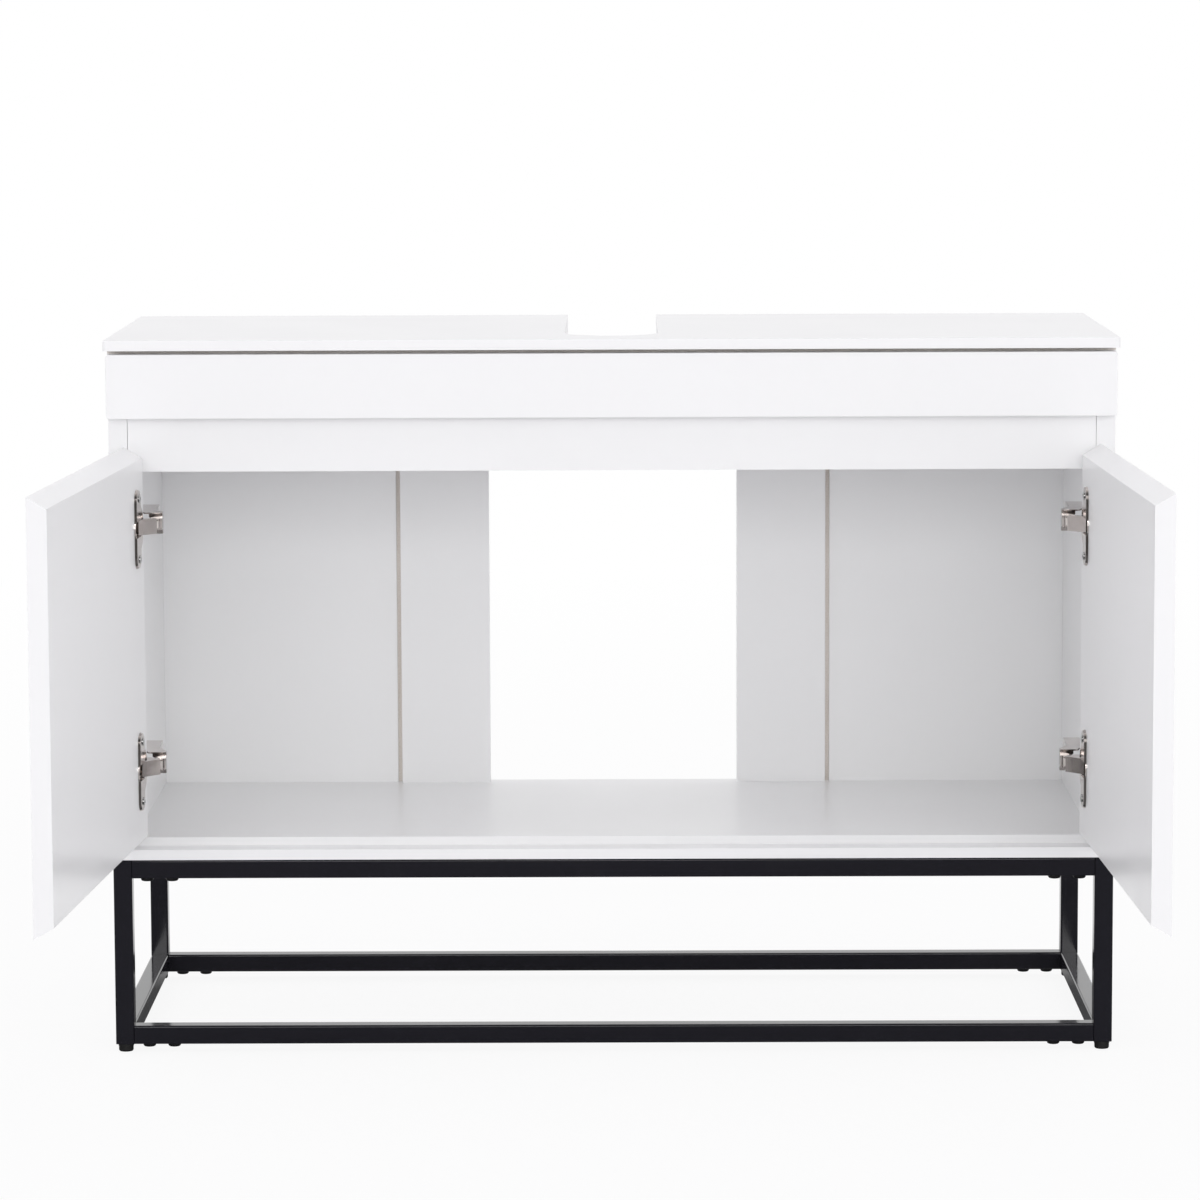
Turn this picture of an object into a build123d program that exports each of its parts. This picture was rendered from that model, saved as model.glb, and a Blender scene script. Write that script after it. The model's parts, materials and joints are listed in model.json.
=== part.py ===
"""Sink base cabinet: a lacquered carcass with two hinged doors on a black tube frame.

X runs across the cabinet, Y from front to back and Z up. The origin is on the floor, at the
centre of the rectangle of the four feet. All lengths are in millimetres.
"""

import math
import os

from build123d import *

LEFT = 1
RIGHT = -1
SIDES = {LEFT: "left", RIGHT: "right"}
SOCKET_SIDES = 6

# Overall sizes
cabinet_width = 800.0
cabinet_depth = 310.0
carcass_height = 416.0
board = 15.0  # thickness of every lacquered board

# Tube frame
frame_height = 150.0
tube_size = 15.0
tube_wall = 1.5
tube_corner = 1.6
foot_height = 6.5
stub_length = 40.0
stub_clearance = 0.2
bolt_end_distance = 11.5  # first bolt from the end of its rail
bolt_spacing = 20.0
bolt_radius = 3.0
bolt_head_radius = 5.2
bolt_head_height = 2.8
bolt_head_rim = 0.8  # straight part of a head's side
bolt_face_radius = 3.6
bolt_socket_radius = 2.3
bolt_socket_depth = 1.6
foot_radius = 6.2
foot_waist_radius = 5.9
foot_pad_radius = 5.3
foot_pad_edge = 1.0
foot_collar_height = 2.0
foot_stem_radius = 3.0
foot_stem_length = 14.0
insert_length = 18.0
seat_gap = 0.3  # between a foot and the tube end above it

# Carcass
front_margin = 16.0  # side panels stand this far behind the frame's front
lip_thickness = 8.3  # rebated edge of the top and the floor
top_side_overhang = 2.0
top_front_overhang = 1.0
floor_tongue_setback = 4.5
edge_rounding = 0.6
corner_rounding = 2.5
fascia_height = 51.0
shadow_gap = 3.0
finger_gap = 23.0
rail_height = 90.5
cutout_width = 75.0
cutout_front_distance = 40.6  # from the top's front edge to the cut-out

# Back
stile_face_width = 75.7
plumbing_gap_width = 211.6
sheet_thickness = 3.0
sheet_lap = 8.0
sheet_recess = 3.5  # open strip beside the stile's face
sheet_setback = 4.3  # sheet behind the stile's face
groove_depth = 5.0
groove_clearance = 0.1
groove_end_clearance = 0.5

# Doors, drawn closed and then opened by their angles
door_reveal = 1.0  # closed door inside the cabinet's side
door_centre_gap = 2.0
door_gap = 1.5  # between a closed door and the side panels
door_floor_gap = 1.7
door_bevel_angle = 30.0
left_opening = 94.2
right_opening = 92.07

# Cup hinges
hinge_spacing = 193.5
hinge_rise = 1.3  # middle of the two hinges above the middle of the door
cup_centre_distance = 22.7  # from the door's edge
cup_radius = 17.5
cup_clearance = 0.05
cup_wall = 0.8
cup_depth = 12.5
cup_floor = 0.7
cup_rim = 0.9
cup_rim_thickness = 1.0
flange_height = 63.0
flange_width = 20.0
flange_thickness = 2.0
flange_offset = 7.5  # from the cup's centre away from the door's hinged edge
flange_screw_offset = 6.0
flange_screw_spacing = 48.0
cheek_thickness = 1.2
cheek_root = 1.2
cheek_eye = 2.0
cheek_height = 7.5
link_clearance = 0.3  # between neighbouring layers of a hinge
rear_link_half = 3.2
rear_link_band = 2.8
rear_link_bow = 3.0
rear_link_cup_eye = 2.4
rear_link_arm_eye = 2.7
rear_link_share = 0.306  # turn of the rear link for each degree of the door about it
front_link_ear = 1.2
front_link_arm_eye = 2.4
front_link_cup_eye = 3.6
front_link_slack = 1.6  # the open pivot of the linkage
front_link_web = 1.2
front_link_web_offset = 3.0
front_link_web_slant = 1.1
front_link_share = 0.36
pin_radius = 1.0
pin_clearance = 0.04
arm_pin_radius = 1.3
pin_end = 0.15
cup_pin_seat = 1.1

# Link pivots: off the side panel and behind its front edge, or from the door's edge and face
rear_arm_pin_off_panel = 23.6
rear_arm_pin_behind = 3.7
front_arm_pin_off_panel = 20.7
front_arm_pin_ahead = 8.2
rear_cup_pin_distance = 12.2
rear_cup_pin_depth = 2.1
front_cup_pin_distance = 15.1
front_cup_pin_depth = 5.4

# Hinge arms and the plates that carry them
arm_half = 8.5
arm_sheet = 1.2
arm_front = 10.0
arm_back = 74.0
arm_front_low = 12.0  # lower edges and upper line, off the side panel
arm_back_low = 4.5
arm_back_high = 17.8
arm_shoulder = 16.0
arm_slope_end = 36.0
nose_cover = 2.7  # from the rear pivot to the arm's upper line
nose_tip_radius = 2.6
nose_pivot_radius = 2.5
nose_low = 11.0
plate_front = 28.0
plate_back = 78.0
plate_half = 11.5
plate_base = 2.0
rail_end_margin = 3.0
rail_wall = 1.5
plate_hole_front = 37.0
plate_hole_spacing = 32.0
arm_screw_places = (46.0, 60.0)

# Screws and dowels
screw_radius = 1.7
screw_head_radius = 3.2
screw_head_height = 1.6
screw_clearance = 0.05
head_taper = 20.0
head_slot = 0.9
head_slot_depth = 0.8
head_access_radius = 3.8  # hole that a driver and a screw's head pass through
cup_screw_length = 11.0
plate_screw_length = 13.0
arm_screw_length = 5.0
fascia_screw_length = 26.0
fascia_screw_rise = 8.0  # above the fascia's lower edge
fascia_screw_spacing = 210.0
fascia_screw_count = 4
frame_screw_length = 40.0
frame_screw_radius = 2.2
frame_screw_head_radius = 4.2
frame_screw_head_height = 2.4
frame_screw_spacing = 200.0
dowel_radius = 3.0
dowel_length = 24.0
dowel_shallow = 5.5  # part of a dowel that sits in a lip
dowel_seat = 9.0  # part of a dowel that sits in a whole board
dowel_clearance = 0.05
side_dowel_spacing = 220.0
rail_dowel_spacing = 55.0
stile_dowel_spacing = 45.0

# Heights and planes that follow from the sizes
half_width = cabinet_width / 2
frame_front = -cabinet_depth / 2
back_plane = cabinet_depth / 2
frame_bottom = foot_height
frame_top = frame_bottom + frame_height
carcass_top = frame_top + carcass_height
carcass_front = frame_front + front_margin
side_inner = half_width - board
floor_lip_top = frame_top + lip_thickness
floor_top = frame_top + board
top_lip_bottom = carcass_top - lip_thickness
top_underside = carcass_top - board
fascia_top = top_lip_bottom - shadow_gap
fascia_bottom = fascia_top - fascia_height
rail_bottom = top_underside - rail_height
door_bottom = floor_lip_top + door_floor_gap
door_top = fascia_bottom - finger_gap
door_height = door_top - door_bottom
door_middle = (door_top + door_bottom) / 2
door_width = half_width - door_reveal - door_centre_gap / 2
hinge_middle = door_middle + hinge_rise
hinge_heights = (hinge_middle - hinge_spacing / 2, hinge_middle + hinge_spacing / 2)
leg_centre_x = half_width - tube_size / 2
leg_centre_y = cabinet_depth / 2 - tube_size / 2
rail_end = half_width - tube_size
stub_size = tube_size - 2 * tube_wall - 2 * stub_clearance
stile_inner = plumbing_gap_width / 2
stile_face_end = stile_inner + stile_face_width
stile_end = stile_face_end + sheet_recess + sheet_lap
stile_front = back_plane - board
sheet_front = stile_front + sheet_setback
sheet_edge = stile_face_end + sheet_recess

# Closed hinge, in plan: across from the cabinet's side and back from the side panel's edge
rear_arm_pin = (board + rear_arm_pin_off_panel, rear_arm_pin_behind)
front_arm_pin = (board + front_arm_pin_off_panel, -front_arm_pin_ahead)
rear_cup_pin = (door_reveal + rear_cup_pin_distance, -door_gap - rear_cup_pin_depth)
front_cup_pin = (door_reveal + front_cup_pin_distance, -door_gap - front_cup_pin_depth)
closed_corner = (door_reveal, -door_gap - board)
cheek_inside = rear_link_half + link_clearance
nose_half = cheek_inside + cheek_thickness
front_link_inside = nose_half + link_clearance
front_link_half = front_link_inside + front_link_ear
cup_trough_half = front_link_half + link_clearance
cheek_reach = math.sqrt((cup_radius - cup_wall) ** 2 - nose_half**2)
rail_half = arm_half - arm_sheet - groove_clearance
arm_top = rear_arm_pin[0] + nose_cover
nose_web_front = rear_arm_pin[1] + rear_link_arm_eye + link_clearance

panel_middle_x = half_width - board / 2
stile_middle_y = back_plane - board / 2
stile_dowel_spots = [
    (-side * (stile_inner + stile_face_width / 2 + step), stile_middle_y)
    for side in SIDES
    for step in (-stile_dowel_spacing / 2, stile_dowel_spacing / 2)
]
rail_middle_z = (top_underside + rail_bottom) / 2
cup_screw_distance = cup_centre_distance + flange_screw_offset
plate_hole_places = (plate_hole_front, plate_hole_front + plate_hole_spacing)


def corner_plane(side, height, place=(0.0, 0.0), turn=0.0):
    """Plan of one side: x runs in from the cabinet's side, y back from the panel's edge."""
    angle = math.radians(turn)
    return Plane(
        origin=(side * (place[0] - half_width), carcass_front + place[1], height),
        x_dir=(side * math.cos(angle), math.sin(angle), 0),
        z_dir=(0, 0, side),
    )


def turned(point, centre, degrees):
    """A plan point after a turn about a centre."""
    angle = math.radians(degrees)
    across = point[0] - centre[0]
    back = point[1] - centre[1]
    return (
        centre[0] + across * math.cos(angle) - back * math.sin(angle),
        centre[1] + across * math.sin(angle) + back * math.cos(angle),
    )


def distance(start, end):
    return math.hypot(end[0] - start[0], end[1] - start[1])


def heading(start, end):
    return math.degrees(math.atan2(end[1] - start[1], end[0] - start[0]))


def opening_of(side):
    return left_opening if side == LEFT else right_opening


def swing_of(side):
    """Turn of the door about the pin of its rear link."""
    return opening_of(side) / (1 - rear_link_share)


def door_plane(side, height):
    """Plan of the opened door: x along the door from its hinged edge, y from its outer face."""
    pin = turned(rear_cup_pin, rear_arm_pin, rear_link_share * swing_of(side))
    shift = (pin[0] - rear_cup_pin[0], pin[1] - rear_cup_pin[1])
    corner = (closed_corner[0] + shift[0], closed_corner[1] + shift[1])
    return corner_plane(side, height, turned(corner, pin, -opening_of(side)), -opening_of(side))


def inner_face_plane(side, height, along):
    """Inner face of the opened door, with its normal pointing away from the door."""
    plan = door_plane(side, height)
    origin = plan.from_local_coords((along, board, 0))
    return Plane(origin=origin, x_dir=plan.x_dir, z_dir=plan.y_dir)


def panel_plane(side, height, back):
    """Inner face of a side panel, with its normal pointing into the cabinet."""
    plan = corner_plane(side, height, (board, back))
    return Plane(origin=plan.origin, x_dir=plan.y_dir, z_dir=plan.x_dir)


def save(piece, name):
    piece.part.label = name
    export_step(piece.part, f"parts/{name}.step")


def paired_layers(plan, inside, thickness):
    """Planes of two equal plates, one each side of a hinge's middle."""
    return (plan.offset(inside), plan.offset(-inside - thickness))


def square_tube(start, end):
    """A square steel tube between the centres of its two ends."""
    along = Vector(*end) - Vector(*start)
    across = Vector(0, 0, 1) if abs(along.Z) < tube_wall else Vector(1, 0, 0)
    with BuildPart() as tube:
        with BuildSketch(Plane(origin=start, x_dir=across, z_dir=along)):
            RectangleRounded(tube_size, tube_size, tube_corner)
            Rectangle(tube_size - 2 * tube_wall, tube_size - 2 * tube_wall, mode=Mode.SUBTRACT)
        extrude(amount=along.length)
    return tube


def screw_group(places, length, radius, head_radius, head_height):
    """Equal screws, each at a plane on its head's seat whose normal points out of the head."""
    with BuildPart() as group:
        for place in places:
            with BuildSketch(place):
                Circle(head_radius)
            extrude(amount=head_height, taper=head_taper)
            with BuildSketch(place.offset(head_height)):
                Rectangle(head_radius, head_slot)
                Rectangle(head_slot, head_radius)
            extrude(amount=-head_slot_depth, mode=Mode.SUBTRACT)
            with BuildSketch(place):
                Circle(radius)
            extrude(amount=-length)
    return group


def dowel_group(places):
    """Equal dowels, each from a plane whose normal runs along it."""
    with BuildPart() as group:
        for place in places:
            with BuildSketch(place):
                Circle(dowel_radius)
            extrude(amount=dowel_length)
    return group


os.makedirs("parts", exist_ok=True)


# Top board: a full-thickness middle between the side panels and a thinner lip all round
top_front = frame_front - top_front_overhang
top_width = cabinet_width + 2 * top_side_overhang
cutout_centre_y = top_front + cutout_front_distance + cutout_width / 2
with BuildPart() as top_board:
    with BuildSketch(Plane.XY.offset(top_lip_bottom)):
        with Locations((0, (top_front + back_plane) / 2)):
            Rectangle(top_width, back_plane - top_front)
    extrude(amount=lip_thickness)
    fillet(top_board.edges().filter_by(Axis.Z).group_by(Axis.Y)[0], corner_rounding)
    fillet(top_board.faces().sort_by(Axis.Z)[-1].edges(), edge_rounding)
    with BuildSketch(Plane.XY.offset(top_underside)):
        with Locations((0, (carcass_front + back_plane) / 2)):
            Rectangle(2 * side_inner, back_plane - carcass_front)
    extrude(amount=board - lip_thickness)
    with BuildSketch(Plane.XY.offset(top_underside)):
        with Locations((0, cutout_centre_y)):
            Circle(cutout_width / 2)
        with Locations((0, (cutout_centre_y + back_plane) / 2)):
            Rectangle(cutout_width, back_plane - cutout_centre_y)
    extrude(amount=board, mode=Mode.SUBTRACT)
    with BuildSketch(Plane.XY.offset(top_underside)):
        for way in (LEFT, RIGHT):
            with Locations((way * (sheet_edge + side_inner) / 2, sheet_front + sheet_thickness / 2)):
                Rectangle(
                    side_inner - sheet_edge + 2 * groove_end_clearance,
                    sheet_thickness + 2 * groove_clearance,
                )
    extrude(amount=groove_depth, mode=Mode.SUBTRACT)
    with Locations(Plane.XY.offset(top_lip_bottom)):
        with GridLocations(2 * panel_middle_x, side_dowel_spacing, 2, 2):
            Cylinder(dowel_radius + dowel_clearance, 2 * dowel_shallow, mode=Mode.SUBTRACT)
    with BuildSketch(Plane.XY.offset(top_underside)):
        with Locations(*stile_dowel_spots):
            Circle(dowel_radius + dowel_clearance)
    extrude(amount=dowel_seat, mode=Mode.SUBTRACT)
save(top_board, "top_board")


# Floor: a wide lip that the side panels and doors stand on, and a full-thickness middle
with BuildPart() as floor_panel:
    with BuildSketch(Plane.XY.offset(frame_top)):
        Rectangle(cabinet_width, cabinet_depth)
    extrude(amount=lip_thickness)
    fillet(floor_panel.edges().filter_by(Axis.Z).group_by(Axis.Y)[0], corner_rounding)
    with BuildSketch(Plane.XY.offset(floor_lip_top)):
        tongue_front = carcass_front + floor_tongue_setback
        with Locations((0, (tongue_front + back_plane) / 2)):
            Rectangle(2 * side_inner, back_plane - tongue_front)
    extrude(amount=board - lip_thickness)
    with BuildSketch(Plane.XY.offset(floor_top)):
        for way in (LEFT, RIGHT):
            with Locations((way * (sheet_edge + side_inner) / 2, sheet_front + sheet_thickness / 2)):
                Rectangle(
                    side_inner - sheet_edge + 2 * groove_end_clearance,
                    sheet_thickness + 2 * groove_clearance,
                )
    extrude(amount=-groove_depth, mode=Mode.SUBTRACT)
    with Locations(Plane.XY.offset(floor_lip_top)):
        with GridLocations(2 * panel_middle_x, side_dowel_spacing, 2, 2):
            Cylinder(dowel_radius + dowel_clearance, 2 * dowel_shallow, mode=Mode.SUBTRACT)
    with BuildSketch(Plane.XY.offset(floor_top)):
        with Locations(*stile_dowel_spots):
            Circle(dowel_radius + dowel_clearance)
    extrude(amount=-dowel_seat, mode=Mode.SUBTRACT)
    with BuildSketch(Plane.XY.offset(frame_top)):
        with GridLocations(2 * leg_centre_x, frame_screw_spacing, 2, 2):
            Circle(frame_screw_radius + screw_clearance)
    extrude(amount=lip_thickness, mode=Mode.SUBTRACT)
save(floor_panel, "floor_panel")


# Side panels: grooved for the back sheets and drilled for the hinge plates and dowels
for side, side_name in SIDES.items():
    with BuildPart() as side_panel:
        with BuildSketch(Plane.XY.offset(floor_lip_top)):
            with Locations((-side * panel_middle_x, (carcass_front + back_plane) / 2)):
                Rectangle(board, back_plane - carcass_front)
        extrude(amount=top_lip_bottom - floor_lip_top)
        with BuildSketch(Plane.XY.offset(floor_lip_top)):
            with Locations((-side * side_inner, sheet_front + sheet_thickness / 2)):
                Rectangle(2 * groove_depth, sheet_thickness + 2 * groove_clearance)
        extrude(amount=top_lip_bottom - floor_lip_top, mode=Mode.SUBTRACT)
        for level in (floor_lip_top, top_lip_bottom):
            with Locations((-side * panel_middle_x, 0, level)):
                with GridLocations(0, side_dowel_spacing, 1, 2):
                    Cylinder(
                        dowel_radius + dowel_clearance,
                        2 * (dowel_length - dowel_shallow),
                        mode=Mode.SUBTRACT,
                    )
        with BuildSketch(Plane.XY.offset(floor_lip_top)):
            with Locations((-side * leg_centre_x, 0)):
                with GridLocations(0, frame_screw_spacing, 1, 2):
                    Circle(frame_screw_radius + screw_clearance)
        extrude(amount=frame_screw_length - tube_size - lip_thickness, mode=Mode.SUBTRACT)
        for height in hinge_heights:
            for back in plate_hole_places:
                with BuildSketch(panel_plane(side, height, back)):
                    Circle(screw_radius + screw_clearance)
                extrude(amount=plate_base - plate_screw_length, mode=Mode.SUBTRACT)
        for step in (-rail_dowel_spacing / 2, rail_dowel_spacing / 2):
            with BuildSketch(panel_plane(side, rail_middle_z + step, board / 2)):
                Circle(dowel_radius + dowel_clearance)
            extrude(amount=-dowel_seat, mode=Mode.SUBTRACT)
    save(side_panel, f"side_panel_{side_name}")


# Front rail and the fascia screwed to it from inside
fascia_screw_z = fascia_bottom + fascia_screw_rise
with BuildPart() as front_rail:
    with BuildSketch(Plane.XY.offset(rail_bottom)):
        with Locations((0, carcass_front + board / 2)):
            Rectangle(2 * side_inner, board)
    extrude(amount=rail_height)
    for side in SIDES:
        for step in (-rail_dowel_spacing / 2, rail_dowel_spacing / 2):
            with BuildSketch(panel_plane(side, rail_middle_z + step, board / 2)):
                Circle(dowel_radius + dowel_clearance)
            extrude(amount=dowel_length - dowel_seat, mode=Mode.SUBTRACT)
    with BuildSketch(Plane.XZ.offset(-carcass_front - board)):
        with Locations((0, fascia_screw_z)):
            with GridLocations(fascia_screw_spacing, 0, fascia_screw_count, 1):
                Circle(screw_radius + screw_clearance)
    extrude(amount=board, mode=Mode.SUBTRACT)
save(front_rail, "front_rail")

with BuildPart() as fascia_panel:
    with BuildSketch(Plane.XZ.offset(-carcass_front)):
        with Locations((0, (fascia_top + fascia_bottom) / 2)):
            RectangleRounded(cabinet_width, fascia_height, corner_rounding)
    extrude(amount=board)
    fillet(fascia_panel.faces().sort_by(Axis.Y)[0].edges(), edge_rounding)
    with BuildSketch(Plane.XZ.offset(-carcass_front)):
        with Locations((0, fascia_screw_z)):
            with GridLocations(fascia_screw_spacing, 0, fascia_screw_count, 1):
                Circle(screw_radius + screw_clearance)
    extrude(amount=fascia_screw_length - board, mode=Mode.SUBTRACT)
save(fascia_panel, "fascia_panel")


# Back: a stile each side of the plumbing gap, rebated for a thin sheet
for side, side_name in SIDES.items():
    with BuildPart() as back_stile:
        with BuildSketch(Plane.XY.offset(floor_top)):
            with Locations((-side * (stile_inner + stile_end) / 2, stile_middle_y)):
                Rectangle(stile_end - stile_inner, board)
        extrude(amount=top_underside - floor_top)
        with BuildSketch(Plane.XY.offset(floor_top)):
            with Locations((-side * stile_end, stile_front)):
                Rectangle(
                    2 * (stile_end - stile_face_end), 2 * (sheet_setback + sheet_thickness)
                )
        extrude(amount=top_underside - floor_top, mode=Mode.SUBTRACT)
        for level in (floor_top, top_underside):
            with Locations(Plane.XY.offset(level)):
                with Locations(*stile_dowel_spots):
                    Cylinder(
                        dowel_radius + dowel_clearance,
                        2 * (dowel_length - dowel_seat),
                        mode=Mode.SUBTRACT,
                    )
    save(back_stile, f"back_stile_{side_name}")

    sheet_end = side_inner + groove_depth - groove_end_clearance
    sheet_bottom = floor_top - groove_depth + groove_end_clearance
    sheet_top = top_underside + groove_depth - groove_end_clearance
    with BuildPart() as back_sheet:
        with BuildSketch(Plane.XZ.offset(-sheet_front)):
            with Locations((-side * (sheet_edge + sheet_end) / 2, (sheet_top + sheet_bottom) / 2)):
                Rectangle(sheet_end - sheet_edge, sheet_top - sheet_bottom)
        extrude(amount=-sheet_thickness)
    save(back_sheet, f"back_sheet_{side_name}")


# Doors: bevelled along the top and the bottom, bored for the hinge cups
bevel_rise = board * math.tan(math.radians(door_bevel_angle))
for side, side_name in SIDES.items():
    middle = door_plane(side, door_middle)
    with BuildPart() as door:
        with BuildSketch(Plane(origin=middle.origin, x_dir=middle.y_dir, z_dir=middle.x_dir)):
            with BuildLine():
                Polyline(
                    (0, -door_height / 2),
                    (0, door_height / 2),
                    (board, door_height / 2 - bevel_rise),
                    (board, -door_height / 2 + bevel_rise),
                    close=True,
                )
            make_face()
        extrude(amount=door_width)
        for height in hinge_heights:
            with BuildSketch(inner_face_plane(side, height, cup_centre_distance)):
                Circle(cup_radius + cup_clearance)
            extrude(amount=-cup_depth, mode=Mode.SUBTRACT)
            with BuildSketch(inner_face_plane(side, height, cup_screw_distance)):
                with GridLocations(0, flange_screw_spacing, 1, 2):
                    Circle(screw_radius + screw_clearance)
            extrude(amount=flange_thickness - cup_screw_length, mode=Mode.SUBTRACT)
    save(door, f"door_{side_name}")


def hinge_cup(side):
    """Cast cups with a flange, a trough for the links and two cheeks that hold the pins."""
    with BuildPart() as cups:
        for height in hinge_heights:
            face = inner_face_plane(side, height, cup_centre_distance)
            plan = door_plane(side, height)
            with BuildSketch(face):
                with Locations((flange_offset, 0)):
                    RectangleRounded(flange_width, flange_height, flange_width / 2 - edge_rounding)
            extrude(amount=flange_thickness)
            with BuildSketch(face.offset(cup_rim_thickness)):
                Rectangle(flange_height, 2 * cup_trough_half)
            extrude(amount=flange_thickness, mode=Mode.SUBTRACT)
            with BuildSketch(face):
                Circle(cup_radius + cup_rim)
            extrude(amount=cup_rim_thickness)
            with BuildSketch(face):
                Circle(cup_radius)
            extrude(amount=-cup_depth)
            with BuildSketch(face.offset(flange_thickness)):
                Circle(cup_radius - cup_wall)
                Rectangle(2 * cup_radius, 2 * cup_trough_half, mode=Mode.INTERSECT)
            extrude(amount=cup_floor - cup_depth - flange_thickness, mode=Mode.SUBTRACT)
            for layer in paired_layers(plan, cheek_inside, cheek_thickness):
                with BuildSketch(layer):
                    with Locations((rear_cup_pin_distance, board - rear_cup_pin_depth)):
                        Circle(cheek_eye)
                    with Locations((front_cup_pin_distance, board - front_cup_pin_depth)):
                        Circle(cheek_eye)
                    with Locations((cup_centre_distance - cheek_reach, board - cup_depth / 2)):
                        Rectangle(cheek_root, cheek_height)
                    make_hull()
                extrude(amount=cheek_thickness)
            with BuildSketch(plan.offset(-cup_trough_half - cup_pin_seat)):
                with Locations((front_cup_pin_distance, board - front_cup_pin_depth)):
                    Circle(pin_radius)
            extrude(amount=2 * (cup_trough_half + cup_pin_seat), mode=Mode.SUBTRACT)
            with BuildSketch(plan.offset(-nose_half)):
                with Locations((rear_cup_pin_distance, board - rear_cup_pin_depth)):
                    Circle(pin_radius)
            extrude(amount=2 * nose_half, mode=Mode.SUBTRACT)
            with BuildSketch(inner_face_plane(side, height, cup_screw_distance)):
                with GridLocations(0, flange_screw_spacing, 1, 2):
                    Circle(screw_radius + screw_clearance)
            extrude(amount=flange_thickness, mode=Mode.SUBTRACT)
    return cups


def cup_pins(side):
    """A short pin for the rear link and a long one for the front link in each cup."""
    with BuildPart() as pins:
        for height in hinge_heights:
            plan = door_plane(side, height)
            with BuildSketch(plan.offset(-nose_half)):
                with Locations((rear_cup_pin_distance, board - rear_cup_pin_depth)):
                    Circle(pin_radius)
            extrude(amount=2 * nose_half)
            with BuildSketch(plan.offset(-cup_trough_half - cup_pin_seat)):
                with Locations((front_cup_pin_distance, board - front_cup_pin_depth)):
                    Circle(pin_radius)
            extrude(amount=2 * (cup_trough_half + cup_pin_seat))
    return pins


def rear_link(side):
    """A bowed bar with an eye at each end that clears the cup's rim when the door stands open."""
    length = distance(rear_arm_pin, rear_cup_pin)
    turn = heading(rear_arm_pin, rear_cup_pin) + rear_link_share * swing_of(side)
    with BuildPart() as links:
        for height in hinge_heights:
            with BuildSketch(corner_plane(side, height, rear_arm_pin, turn)):
                with BuildLine():
                    ThreePointArc((0, 0), (length / 2, rear_link_bow), (length, 0))
                trace(line_width=rear_link_band)
                Circle(rear_link_arm_eye)
                with Locations((length, 0)):
                    Circle(rear_link_cup_eye)
                Circle(arm_pin_radius + pin_clearance, mode=Mode.SUBTRACT)
                with Locations((length, 0)):
                    Circle(pin_radius + pin_clearance, mode=Mode.SUBTRACT)
            extrude(amount=rear_link_half, both=True)
    return links


def front_link(side):
    """The wide link that shows when the door stands open: two side plates and a web."""
    length = distance(front_arm_pin, front_cup_pin)
    turn = heading(front_arm_pin, front_cup_pin) + front_link_share * swing_of(side)
    web_end = front_link_web_offset + front_link_web_slant
    with BuildPart() as links:
        for height in hinge_heights:
            plan = corner_plane(side, height, front_arm_pin, turn)
            for layer in paired_layers(plan, front_link_inside, front_link_ear):
                with BuildSketch(layer):
                    Circle(front_link_arm_eye)
                    with Locations((length, 0)):
                        Circle(front_link_cup_eye)
                    Polygon(
                        (0, -edge_rounding),
                        (length, -edge_rounding),
                        (length, web_end),
                        (0, front_link_web_offset),
                        align=None,
                    )
                    Circle(arm_pin_radius + pin_clearance, mode=Mode.SUBTRACT)
                    with Locations((length, 0)):
                        Circle(pin_radius + front_link_slack, mode=Mode.SUBTRACT)
                extrude(amount=front_link_ear)
            with BuildSketch(plan):
                Polygon(
                    (0, front_link_web_offset),
                    (length, web_end),
                    (length, web_end + front_link_web),
                    (0, front_link_web_offset + front_link_web),
                    align=None,
                )
            extrude(amount=front_link_half, both=True)
    return links


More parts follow.
